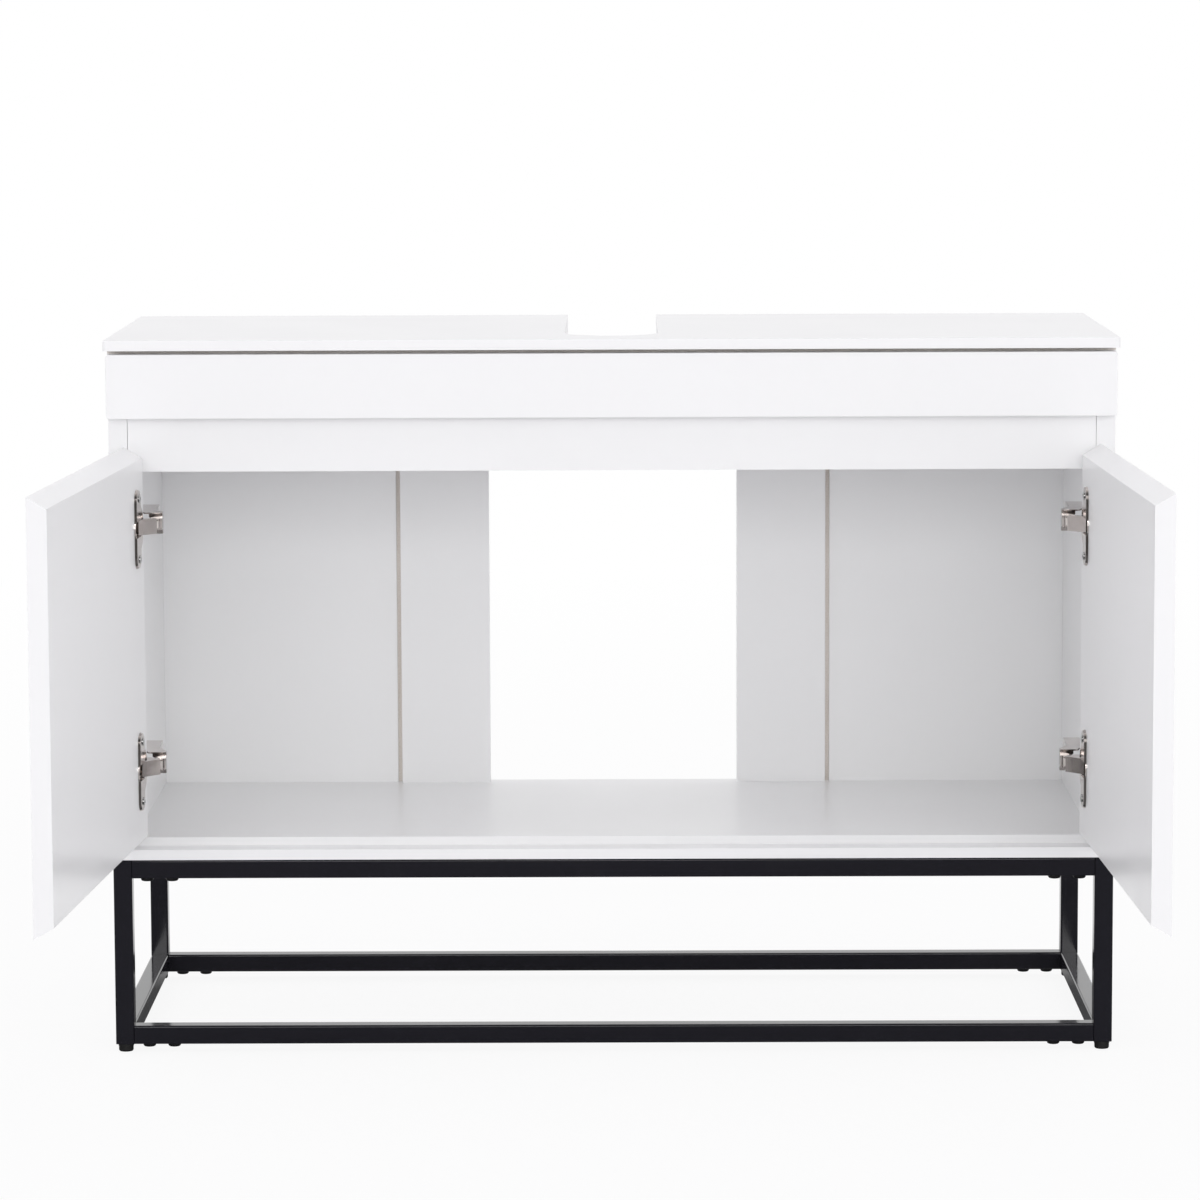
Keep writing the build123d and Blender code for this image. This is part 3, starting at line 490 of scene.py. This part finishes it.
def draft_flanges(side):
    """Leans in the sides of a hinge cup's flange, as a casting's are."""
    inner = door_inner_normal(side)
    screws_middle = [points_middle(points) for points in solids_of(f"cup_screws_{side}")]

    def across(point, middle):
        """The way from a middle to a point, along the door's face."""
        offset = point - middle
        return offset - inner * offset.dot(inner)

    def lean_in(work):
        """Moves the corners of the flange's raised outline in, away from its walls."""
        level = max(corner.co.dot(inner) for corner in work.verts) - level_reach
        cups = cup_middles(work, inner)
        ways = {}
        for edge in work.edges:
            faces = edge.link_faces
            walls = [face for face in faces if abs(face.normal.dot(inner)) < faces_across]
            ends = [corner.co for corner in edge.verts]
            if len(walls) != 1 or min(end.dot(inner) for end in ends) < level:
                continue
            middle = (ends[0] + ends[1]) / 2
            if min(across(middle, screw).length for screw in screws_middle) < screw_hole_reach:
                continue
            cup = min(cups, key=lambda place: abs(place.z - middle.z))
            if across(middle, cup).dot(walls[0].normal) > 0:
                for corner in edge.verts:
                    ways.setdefault(corner, Vector())
                    ways[corner] += walls[0].normal
        for corner, way in ways.items():
            corner.co -= way.normalized() * flange_draft

    return lean_in


def merged_copy(node, reshape=None):
    """A copy of a CAD mesh with whole flat faces, reshaped by a function where one is given."""
    mesh = NODES[node].data.copy()
    mesh.name = f"{node}_finished"
    work = bmesh.new()
    work.from_mesh(mesh)
    bmesh.ops.remove_doubles(work, verts=work.verts, dist=merge_distance)
    bmesh.ops.dissolve_limit(
        work,
        angle_limit=flat_angle,
        use_dissolve_boundaries=False,
        verts=work.verts,
        edges=work.edges,
    )
    if reshape is not None:
        reshape(work)
    for face in work.faces:
        face.smooth = True
    work.to_mesh(mesh)
    work.free()
    mesh.materials.clear()
    if "custom_normal" in mesh.attributes:
        mesh.attributes.remove(mesh.attributes["custom_normal"])
    return mesh


def finished(node, materials, bevel, choose=None, reshape=None):
    """Replaces a CAD node by a bevelled copy in the given materials."""
    mesh = merged_copy(node, reshape)
    for material in materials:
        mesh.materials.append(material)
    if choose is not None:
        for face in mesh.polygons:
            face.material_index = choose(face.center, face.normal)
    piece = new_object(f"{node}_finished", mesh)
    edge = piece.modifiers.new("edge", "BEVEL")
    edge.width = bevel
    edge.segments = bevel_segments
    edge.limit_method = "ANGLE"
    edge.angle_limit = sharp_angle
    edge.miter_outer = "MITER_ARC"
    even = piece.modifiers.new("even", "WEIGHTED_NORMAL")
    even.keep_sharp = False
    even.weight = face_weight
    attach(piece, BODY_OF[node])
    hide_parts(node)
    return piece


# Bounds that pick out faces: those of the step under the top's lip have their middles
step_setback = 5 * MM  # more than this behind the top's front edge
step_depth = 1 * MM  # less than this behind the carcass's front
step_drop = 3 * MM  # and more than this under the top's upper face
# and those of a stile's rebate
rebate_front = 0.5 * MM  # more than this behind the stile's front
rebate_back = 1 * MM  # more than this before its back
rebate_reach = 4 * MM  # and less than this inside the back sheet's edge, or outside it


def on_top_step(centre, normal):
    """The thinly sprayed step under the top's front lip, seen through the shadow gap."""
    in_front = top_box[0].y + step_setback < centre.y < carcass_front + step_depth
    below = centre.z < top_box[1].z - step_drop
    return int(in_front and below and abs(normal.y) > faces_mainly)


def on_stile_rebate(centre, normal):
    """The thinly sprayed rebate that takes the back sheet."""
    low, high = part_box("back_stile_left")
    sheet_edge = abs(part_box("back_sheet_left")[1].x)
    inside = low.y + rebate_front < centre.y < high.y - rebate_back
    return int(inside and abs(centre.x) > sheet_edge - rebate_reach)


def in_shadow_gap(centre, normal):
    """The side panel's front end where it shows above the fascia."""
    return int(centre.z > fascia_box[1].z and normal.y < -faces_mainly)


board_choices = {
    "top_board": on_top_step,
    "back_stile_left": on_stile_rebate,
    "back_stile_right": on_stile_rebate,
    "side_panel_left": in_shadow_gap,
    "side_panel_right": in_shadow_gap,
}
board_shapes = {
    "front_rail": open_end_joints,
    "side_panel_left": cut_at_gap,
    "side_panel_right": cut_at_gap,
}
board_nodes = ["top_board", "floor_panel", "front_rail", "fascia_panel"]
for side in SIDES:
    for board in ("side_panel", "back_stile", "back_sheet", "door"):
        board_nodes.append(f"{board}_{side}")
for node in board_nodes:
    finished(
        node,
        [white_lacquer, thin_coat],
        board_bevel,
        board_choices.get(node),
        board_shapes.get(node),
    )

for side in SIDES:
    for group in (
        "hinge_cups",
        "cup_pins",
        "rear_links",
        "front_links",
        "hinge_arms",
        "arm_pins",
        "mounting_plates",
    ):
        shape = draft_flanges(side) if group == "hinge_cups" else None
        finished(f"{group}_{side}", [nickel], metal_bevel, reshape=shape)

for node in NODES:
    if node.startswith(("leg_", "side_rail_", "long_rail_", "rail_stubs_")):
        finished(node, [black_coat], metal_bevel)
    elif node.startswith("foot_"):
        finished(node, [black_plastic], metal_bevel)


# Screws, bolts and dowels: turned bars, set on every seat by Geometry Nodes

head_first_ring = 0.2  # share of a head's rings that its straight rim takes
head_sides = 32
head_rings = 5
shank_sides = 16
rings_per_turn = 6.0
recess_sides = 12  # of the pit in the middle of a cross recess
recess_tip = 0.1 * MM  # the radius of that pit's bottom
dowel_sides = 48
dowel_rings = 10
tip_reach = 0.01 * MM  # corners this close to a solid's lowest one belong to its tip

# Heights of the heads in the CAD part
small_head = 1.6 * MM
frame_head = 2.4 * MM
bolt_head = 2.8 * MM

# Sizes of each kind, where the CAD part doesn't give them
SCREW_SIZES = {
    "Head Radius": 3.2 * MM,
    "Head Height": 1.1 * MM,
    "Rim Height": 0.2 * MM,
    "Face Radius": 2.2 * MM,
    "Shank Radius": 1.7 * MM,
    "Shank Length": 11.0 * MM,
    "Thread Pitch": 1.35 * MM,
    "Thread Depth": 0.35 * MM,
    "Point Length": 2.4 * MM,
    "Point Share": 0.15,
    "Recess Radius": 1.7 * MM,
    "Recess Width": 0.75 * MM,
    "Recess Depth": 0.75 * MM,
    "Hex Socket": False,
}
ARM_SCREW = {
    **SCREW_SIZES,
    "Thread Pitch": 0.9 * MM,
    "Point Length": 0.5 * MM,
    "Point Share": 0.85,
}
FRAME_SCREW = {
    **SCREW_SIZES,
    "Head Height": frame_head,
    "Rim Height": 0.6 * MM,
    "Face Radius": 3.0 * MM,
    "Thread Pitch": 2.2 * MM,
    "Thread Depth": 0.5 * MM,
    "Recess Radius": 2.3 * MM,
    "Recess Width": 1.0 * MM,
    "Recess Depth": 1.1 * MM,
}
FRAME_BOLT = {
    **SCREW_SIZES,
    "Head Height": bolt_head,
    "Rim Height": 0.8 * MM,
    "Face Radius": 3.6 * MM,
    "Thread Pitch": 1.0 * MM,
    "Thread Depth": 0.5 * MM,
    "Point Length": 0.7 * MM,
    "Point Share": 0.85,
    "Recess Radius": 2.3 * MM,
    "Recess Depth": 1.6 * MM,
    "Hex Socket": True,
}
DOWEL_SIZES = {
    "Shank Radius": 4.0 * MM,
    "Shank Length": 30.0 * MM,
    "Flutes": 12.0,
    "Flute Depth": 0.5 * MM,
    "Eased End": 1.2 * MM,
    "End Share": 0.8,
}


def turned_bar(tree, sides, rings, height_of, radius_of):
    """A closed bar whose rings each get their own height and radius."""
    bar = put(tree, "GeometryNodeMeshCylinder")
    for label, value in (
        ("Vertices", sides),
        ("Side Segments", rings),
        ("Fill Segments", 1),
        ("Radius", 1.0),
        ("Depth", 1.0),
    ):
        feed(tree, bar.inputs[label], value)
    place = put(tree, "ShaderNodeSeparateXYZ")
    tree.links.new(put(tree, "GeometryNodeInputPosition").outputs[0], place.inputs[0])
    share = math_node(tree, "ADD", place.outputs["Z"], 0.5)
    height = height_of(share)
    turn = math_node(tree, "ARCTAN2", place.outputs["Y"], place.outputs["X"])
    radius = radius_of(share, height, math_node(tree, "DIVIDE", turn, math.tau))
    x = math_node(tree, "MULTIPLY", place.outputs["X"], radius)
    y = math_node(tree, "MULTIPLY", place.outputs["Y"], radius)
    move = put(tree, "GeometryNodeSetPosition")
    tree.links.new(bar.outputs["Mesh"], move.inputs["Geometry"])
    tree.links.new(vector_node(tree, x, y, height), move.inputs["Position"])
    return move.outputs["Geometry"]


def moved_up(tree, shape, rise):
    """A shape moved along Z."""
    move = put(tree, "GeometryNodeTransform")
    tree.links.new(shape, move.inputs["Geometry"])
    tree.links.new(vector_node(tree, z=rise), move.inputs["Translation"])
    return move.outputs[0]


def set_on_seats(tree, start, end, shape):
    """Puts a shape on every seat, turned at random about the axis, as one plain mesh."""
    bend = put(tree, "GeometryNodeInputMeshEdgeAngle")
    crease = math_node(tree, "GREATER_THAN", bend.outputs["Unsigned Angle"], sharp_angle)
    soft = put(tree, "GeometryNodeSetShadeSmooth", domain="FACE")
    tree.links.new(shape, soft.inputs["Geometry"])
    soft.inputs["Shade Smooth"].default_value = True
    hard = put(tree, "GeometryNodeSetShadeSmooth", domain="EDGE")
    tree.links.new(soft.outputs[0], hard.inputs["Geometry"])
    tree.links.new(crease, hard.inputs["Selection"])
    hard.inputs["Shade Smooth"].default_value = False
    lean = put(tree, "FunctionNodeAlignRotationToVector", axis="Z")
    tree.links.new(start.outputs["Axis"], lean.inputs["Vector"])
    chance = put(tree, "FunctionNodeRandomValue", data_type="FLOAT")
    chance.inputs[3].default_value = math.tau  # the largest turn
    tree.links.new(start.outputs["Seed"], chance.inputs["Seed"])
    spin = put(tree, "FunctionNodeAxisAngleToRotation")
    spin.inputs["Axis"].default_value = (0.0, 0.0, 1.0)
    tree.links.new(chance.outputs[1], spin.inputs["Angle"])
    both = put(tree, "FunctionNodeRotateRotation", rotation_space="LOCAL")
    tree.links.new(lean.outputs[0], both.inputs["Rotation"])
    tree.links.new(spin.outputs[0], both.inputs["Rotate By"])
    spread = put(tree, "GeometryNodeInstanceOnPoints")
    tree.links.new(start.outputs["Seats"], spread.inputs["Points"])
    tree.links.new(hard.outputs[0], spread.inputs["Instance"])
    tree.links.new(both.outputs[0], spread.inputs["Rotation"])
    plain = put(tree, "GeometryNodeRealizeInstances")
    tree.links.new(spread.outputs[0], plain.inputs["Geometry"])
    coat = put(tree, "GeometryNodeSetMaterial")
    tree.links.new(plain.outputs[0], coat.inputs["Geometry"])
    tree.links.new(start.outputs["Material"], coat.inputs["Material"])
    tree.links.new(coat.outputs[0], end.inputs["Pieces"])


def repeat_tree(name, sizes):
    """An empty Geometry Nodes tree that sets a shape on seats, with its named sizes."""
    tree = bpy.data.node_groups.new(name, "GeometryNodeTree")
    tree.interface.new_socket("Seats", in_out="INPUT", socket_type="NodeSocketGeometry")
    for label, value in sizes.items():
        kind = {bool: "NodeSocketBool", int: "NodeSocketInt"}.get(type(value), FLOAT)
        socket = tree.interface.new_socket(label, in_out="INPUT", socket_type=kind)
        socket.default_value = value
    for label, kind in (
        ("Axis", VECTOR),
        ("Seed", "NodeSocketInt"),
        ("Material", "NodeSocketMaterial"),
    ):
        tree.interface.new_socket(label, in_out="INPUT", socket_type=kind)
    tree.interface.new_socket("Pieces", in_out="OUTPUT", socket_type="NodeSocketGeometry")
    return tree, put(tree, "NodeGroupInput"), put(tree, "NodeGroupOutput")


def screw_head(tree, size):
    """A head with a straight rim and a crown that rounds in to its flat face."""

    def above_rim(share):
        """The angle round the crown, from the rim up to the face."""
        return range_node(tree, share, head_first_ring, 1.0, 0.0, math.pi / 2)

    def height_of(share):
        crown = math_node(tree, "SUBTRACT", size["Head Height"], size["Rim Height"])
        rise = math_node(tree, "MULTIPLY", math_node(tree, "SINE", above_rim(share)), crown)
        rim = range_node(tree, share, 0.0, head_first_ring, 0.0, size["Rim Height"])
        return math_node(tree, "ADD", rim, rise)

    def radius_of(share, height, turn):
        reach = math_node(tree, "SUBTRACT", size["Head Radius"], size["Face Radius"])
        fall = math_node(tree, "MULTIPLY", math_node(tree, "COSINE", above_rim(share)), reach)
        return math_node(tree, "ADD", size["Face Radius"], fall)

    return turned_bar(tree, head_sides, head_rings, height_of, radius_of)


def screw_shank(tree, size):
    """A shank with a helical thread, from its point up into the head's rim."""

    def height_of(share):
        low = math_node(tree, "MULTIPLY", size["Shank Length"], -1.0)
        high = math_node(tree, "MULTIPLY", size["Rim Height"], 0.5)
        return range_node(tree, share, 0.0, 1.0, low, high)

    def radius_of(share, height, turn):
        pitches = math_node(tree, "DIVIDE", height, size["Thread Pitch"])
        wave = math_node(tree, "PINGPONG", math_node(tree, "ADD", pitches, turn), 0.5)
        cut_share = math_node(tree, "MULTIPLY", wave, 2.0)
        groove = math_node(tree, "MULTIPLY", cut_share, size["Thread Depth"])
        body = math_node(tree, "SUBTRACT", size["Shank Radius"], groove)
        above_tip = math_node(tree, "ADD", height, size["Shank Length"])
        point = range_node(
            tree, above_tip, 0.0, size["Point Length"], size["Point Share"], 1.0
        )
        return math_node(tree, "MULTIPLY", body, point)

    turns = math_node(tree, "DIVIDE", size["Shank Length"], size["Thread Pitch"])
    rings = math_node(tree, "MULTIPLY", turns, rings_per_turn)
    return turned_bar(tree, shank_sides, rings, height_of, radius_of)


def cross_recess(tree, size, deep):
    """The form of a cross recess: two crossed wings and a pit in the middle."""
    width = size["Recess Width"]
    wide = math_node(tree, "MULTIPLY", size["Recess Radius"], 2.0)
    cross = put(tree, "GeometryNodeMeshBoolean", operation="UNION", solver="EXACT")
    for x, y in ((wide, width), (width, wide)):
        wing = put(tree, "GeometryNodeMeshCube")
        tree.links.new(vector_node(tree, x, y, deep), wing.inputs["Size"])
        tree.links.new(wing.outputs["Mesh"], cross.inputs["Mesh 2"])
    pit = put(tree, "GeometryNodeMeshCone")
    pit.inputs["Vertices"].default_value = recess_sides
    feed(tree, pit.inputs["Radius Top"], width)
    feed(tree, pit.inputs["Radius Bottom"], recess_tip)
    feed(tree, pit.inputs["Depth"], deep)
    sink = math_node(tree, "MULTIPLY", size["Recess Depth"], -1.0)
    tree.links.new(moved_up(tree, pit.outputs["Mesh"], sink), cross.inputs["Mesh 2"])
    return cross.outputs["Mesh"]


def hexagon_recess(tree, size, deep):
    """The form of a hexagon socket."""
    hexagon = put(tree, "GeometryNodeMeshCylinder")
    hexagon.inputs["Vertices"].default_value = 6
    feed(tree, hexagon.inputs["Radius"], size["Recess Radius"])
    feed(tree, hexagon.inputs["Depth"], deep)
    return hexagon.outputs["Mesh"]


def screw_tree():
    """A threaded screw or bolt with a cross recess or a hexagon socket in its head."""
    tree, start, end = repeat_tree("screw", SCREW_SIZES)
    size = start.outputs
    head = screw_head(tree, size)
    shank = screw_shank(tree, size)
    deep = math_node(tree, "MULTIPLY", size["Recess Depth"], 2.0)
    recess = put(tree, "GeometryNodeSwitch", input_type="GEOMETRY")
    tree.links.new(size["Hex Socket"], recess.inputs["Switch"])
    tree.links.new(cross_recess(tree, size, deep), recess.inputs["False"])
    tree.links.new(hexagon_recess(tree, size, deep), recess.inputs["True"])
    raised = moved_up(tree, recess.outputs[0], size["Head Height"])
    cut = put(tree, "GeometryNodeMeshBoolean", operation="DIFFERENCE", solver="EXACT")
    tree.links.new(head, cut.inputs["Mesh 1"])
    tree.links.new(raised, cut.inputs["Mesh 2"])
    whole = put(tree, "GeometryNodeJoinGeometry")
    tree.links.new(cut.outputs["Mesh"], whole.inputs[0])
    tree.links.new(shank, whole.inputs[0])
    set_on_seats(tree, start, end, whole.outputs[0])
    return tree


def dowel_tree():
    """A fluted dowel with eased ends, from its seat into the hole behind it."""
    tree, start, end = repeat_tree("dowel", DOWEL_SIZES)
    size = start.outputs

    def height_of(share):
        low = math_node(tree, "MULTIPLY", size["Shank Length"], -1.0)
        return range_node(tree, share, 0.0, 1.0, low, 0.0)

    def radius_of(share, height, turn):
        flutes = math_node(tree, "MULTIPLY", turn, size["Flutes"])
        wave = math_node(tree, "PINGPONG", flutes, 0.5)
        groove = math_node(tree, "MULTIPLY", wave, size["Flute Depth"])
        body = math_node(tree, "SUBTRACT", size["Shank Radius"], groove)
        low = math_node(tree, "ADD", height, size["Shank Length"])
        high = math_node(tree, "MULTIPLY", height, -1.0)
        near = math_node(tree, "MINIMUM", low, high)
        ease = range_node(tree, near, 0.0, size["Eased End"], size["End Share"], 1.0)
        return math_node(tree, "MULTIPLY", body, ease)

    bar = turned_bar(tree, dowel_sides, dowel_rings, height_of, radius_of)
    set_on_seats(tree, start, end, bar)
    return tree


def seat_of(points, axis, head):
    """A screw's or dowel's seat under its head, and its sizes, from its corner points."""
    along = [point.dot(axis) for point in points]
    low = min(along)
    end_points = [point for point, place in zip(points, along) if place < low + tip_reach]
    tip = points_middle(end_points)
    length = max(along) - low - head
    spans = [point - tip for point in points]
    sizes = {
        "Shank Length": length,
        "Shank Radius": max((point - tip).length for point in end_points),
        "Head Radius": max((span - axis * span.dot(axis)).length for span in spans),
    }
    return tip + axis * length, sizes


def set_in_place(node, tree, axis, material, sizes, head=0.0, seed=0):
    """Replaces a CAD node's screws or dowels, whose heads are so high, by detailed ones."""
    seats, measured = zip(*(seat_of(points, axis, head) for points in solids_of(node)))
    values = {**sizes, **measured[-1], "Axis": axis, "Seed": seed, "Material": material}
    points_mesh = bpy.data.meshes.new(f"{node}_seats")
    points_mesh.from_pydata(list(seats), [], [])
    holder = new_object(f"{node}_seats", points_mesh)
    build = holder.modifiers.new("build", "NODES")
    build.node_group = tree
    for item in tree.interface.items_tree:
        if item.name in values:
            build[item.identifier] = values[item.name]
    graph = bpy.context.evaluated_depsgraph_get()
    mesh = bpy.data.meshes.new_from_object(holder.evaluated_get(graph), depsgraph=graph)
    holder.modifiers.clear()
    bpy.data.objects.remove(holder)
    piece = new_object(f"{node}_finished", mesh)
    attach(piece, BODY_OF[node])
    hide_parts(node)


screws = screw_tree()
dowels = dowel_tree()
upward = Vector((0, 0, 1))
rearward = Vector((0, 1, 0))
rightward = Vector((1, 0, 0))
cup_seed = 3
plate_seed = 5
arm_seed = 9
row_seed = 17
for side in SIDES:
    inward = Vector((-SIDES[side], 0, 0))
    for node, axis, sizes, seed in (
        (f"cup_screws_{side}", door_inner_normal(side), SCREW_SIZES, cup_seed),
        (f"plate_screws_{side}", inward, SCREW_SIZES, plate_seed),
        (f"arm_screws_{side}", inward, ARM_SCREW, arm_seed),
    ):
        set_in_place(node, screws, axis, zinc, sizes, small_head, seed)
for node, axis, material, slot, sizes, head in (
    ("fascia_screws", rearward, zinc, "zinc_screws", SCREW_SIZES, small_head),
    ("frame_screws", -upward, zinc, "zinc_screws", FRAME_SCREW, frame_head),
    ("frame_bolts", -upward, bolt_steel, "black_bolt_steel", FRAME_BOLT, bolt_head),
):
    set_in_place(node, screws, axis, material, sizes, head, row_seed)
for node, axis in (
    ("panel_dowels", upward),
    ("stile_dowels", upward),
    ("rail_dowels", rightward),
):
    set_in_place(node, dowels, axis, beech, DOWEL_SIZES)


# Floor, light and camera

floor_size = 60.0
paper_white = (0.88, 0.88, 0.89, 1.0)
page_near = 0.9  # share of plain white in the floor as the camera sees it
page_far = 1.0  # the same share far away
page_start = 0.9  # distances over which the share goes from near to far
page_end = 3.2
room_tint = (0.985, 0.975, 1.0, 1.0)
room_dark = 0.25  # strength of the room in front, as a light
room_bright = 0.93  # strength of the backdrop behind and above
backdrop_start = -0.55  # how far back a ray points where the backdrop begins
backdrop_full = 0.35  # and where it is at its brightest
ceiling_start = 0.1  # how far up a ray points where the ceiling begins
ceiling_full = 0.9  # and where it is at its brightest
mirror_dark = 0.07  # how bright the room in front shows in mirrors and gloss, and the darkest level of the floor's painted reflection
reflection_white_from = 0.4  # from here back, the floor's painted reflection shows full white in gloss
reflection_dark_until = 0.1  # from here on towards the camera, the floor's painted reflection is as dark as the room in front
lamp_aim = (0.0, -0.1, 0.35)
LAMPS = (  # name, place, size and power in watts
    ("front", (0.0, -15.0, 3.3), (8.6, 4.4), 470.0),
    ("left", (-9.0, -10.1, 3.7), (7.6, 7.6), 165.0),
    ("right", (9.0, -10.1, 3.7), (7.6, 7.6), 295.0),
)

# The photograph's camera, fitted to the cabinet's edges
camera_place = (0.01043, -3.9678, 0.8290)
camera_yaw = math.radians(-0.301)
camera_pitch = math.radians(6.938)
camera_roll = math.radians(0.226)
camera_lens = 145.06
camera_sensor = 36.0


def camera_rays(tree):
    """1 for rays from the camera, 0 for others."""
    return put(tree, "ShaderNodeLightPath").outputs["Is Camera Ray"]


def mirror_rays(tree):
    """1 for rays that gloss, a mirror or glass sends on, 0 for others."""
    rays = put(tree, "ShaderNodeLightPath").outputs
    return math_node(tree, "MAXIMUM", rays["Is Glossy Ray"], rays["Is Transmission Ray"])


def make_world():
    """A white backdrop behind and above the object and a darker room in front of it."""
    world = bpy.data.worlds.new("studio")
    bpy.context.scene.world = world
    tree = cleared_tree(world)
    output = put(tree, "ShaderNodeOutputWorld")
    way = put(tree, "ShaderNodeSeparateXYZ")
    tree.links.new(put(tree, "ShaderNodeTexCoord").outputs["Generated"], way.inputs[0])
    behind = range_node(tree, way.outputs["Y"], backdrop_start, backdrop_full, 0.0, 1.0)
    above = range_node(tree, way.outputs["Z"], ceiling_start, ceiling_full, 0.0, 1.0)
    share = math_node(tree, "MAXIMUM", behind, above)
    light = put(tree, "ShaderNodeBackground")
    light.inputs["Color"].default_value = room_tint
    strength = range_node(tree, share, 0.0, 1.0, room_dark, room_bright)
    tree.links.new(strength, light.inputs["Strength"])
    page = put(tree, "ShaderNodeBackground")
    page.inputs["Color"].default_value = WHITE
    direct = camera_rays(tree)
    mirrored = mirror_rays(tree)
    shown = range_node(tree, behind, 0.0, 1.0, mirror_dark, 1.0)
    level = math_node(tree, "MAXIMUM", direct, math_node(tree, "MULTIPLY", mirrored, shown))
    tree.links.new(level, page.inputs["Strength"])
    seen = math_node(tree, "MAXIMUM", direct, mirrored)
    surface = mix_shaders(tree, seen, light.outputs[0], page.outputs[0])
    tree.links.new(surface, output.inputs["Surface"])


def make_floor():
    """A pale sheet of paper that keeps the shadow and fades to plain white; to gloss it shows a
    painted reflection, dark in front and white behind.
    """
    mesh = bpy.data.meshes.new("studio_floor")
    reach = floor_size / 2
    corners = [(-reach, -reach, 0), (reach, -reach, 0), (reach, reach, 0), (-reach, reach, 0)]
    mesh.from_pydata(corners, [], [(0, 1, 2, 3)])
    floor = new_object("studio_floor", mesh)
    material = bpy.data.materials.new("studio_floor")
    tree = cleared_tree(material)
    output = put(tree, "ShaderNodeOutputMaterial")
    paper = put(tree, "ShaderNodeBsdfDiffuse")
    paper.inputs["Color"].default_value = paper_white
    page = put(tree, "ShaderNodeEmission")
    place = object_coordinates(tree)
    distance = put(tree, "ShaderNodeVectorMath", operation="LENGTH")
    tree.links.new(place, distance.inputs[0])
    along = put(tree, "ShaderNodeSeparateXYZ")
    tree.links.new(place, along.inputs[0])
    # painted reflection: glossy rays see the floor dark in front of the cabinet and white behind it,
    # whatever light falls there
    painted_reflection_level = range_node(tree, along.outputs["Y"], reflection_dark_until, reflection_white_from, mirror_dark, 1.0)
    direct = camera_rays(tree)
    tree.links.new(math_node(tree, "MAXIMUM", direct, painted_reflection_level), page.inputs["Strength"])
    fade = range_node(
        tree, distance.outputs["Value"], page_start, page_end, page_near, page_far
    )
    seen = math_node(tree, "MAXIMUM", direct, mirror_rays(tree))
    share = math_node(tree, "MULTIPLY", seen, fade)
    surface = mix_shaders(tree, share, paper.outputs[0], page.outputs[0])
    tree.links.new(surface, output.inputs["Surface"])
    mesh.materials.append(material)


def make_lamp(name, place, size, power):
    """A large soft lamp that looks at the cabinet."""
    lamp = bpy.data.lights.new(name, "AREA")
    lamp.shape = "RECTANGLE"
    lamp.size = size[0]
    lamp.size_y = size[1]
    lamp.energy = power
    holder = new_object(name, lamp)
    holder.location = place
    aim = Vector(lamp_aim) - Vector(place)
    holder.rotation_euler = aim.to_track_quat("-Z", "Y").to_euler()


def make_camera():
    """Sets the camera in its place, turned about all three axes."""
    across = Vector((math.cos(camera_yaw), -math.sin(camera_yaw), 0))
    ahead = Vector((math.sin(camera_yaw), math.cos(camera_yaw), 0))
    view = math.cos(camera_pitch) * ahead - math.sin(camera_pitch) * upward
    above = math.sin(camera_pitch) * ahead + math.cos(camera_pitch) * upward
    right = math.cos(camera_roll) * across - math.sin(camera_roll) * above
    up = math.sin(camera_roll) * across + math.cos(camera_roll) * above
    camera = bpy.data.cameras.new("camera")
    camera.sensor_width = camera_sensor
    camera.lens = camera_lens
    holder = new_object("camera", camera)
    turn = Matrix((right, up, -view)).transposed().to_4x4()
    holder.matrix_world = Matrix.Translation(camera_place) @ turn
    bpy.context.scene.camera = holder


bpy.context.scene.view_settings.view_transform = "Standard"
make_world()
make_floor()
for name, place, size, power in LAMPS:
    make_lamp(name, place, size, power)
make_camera()
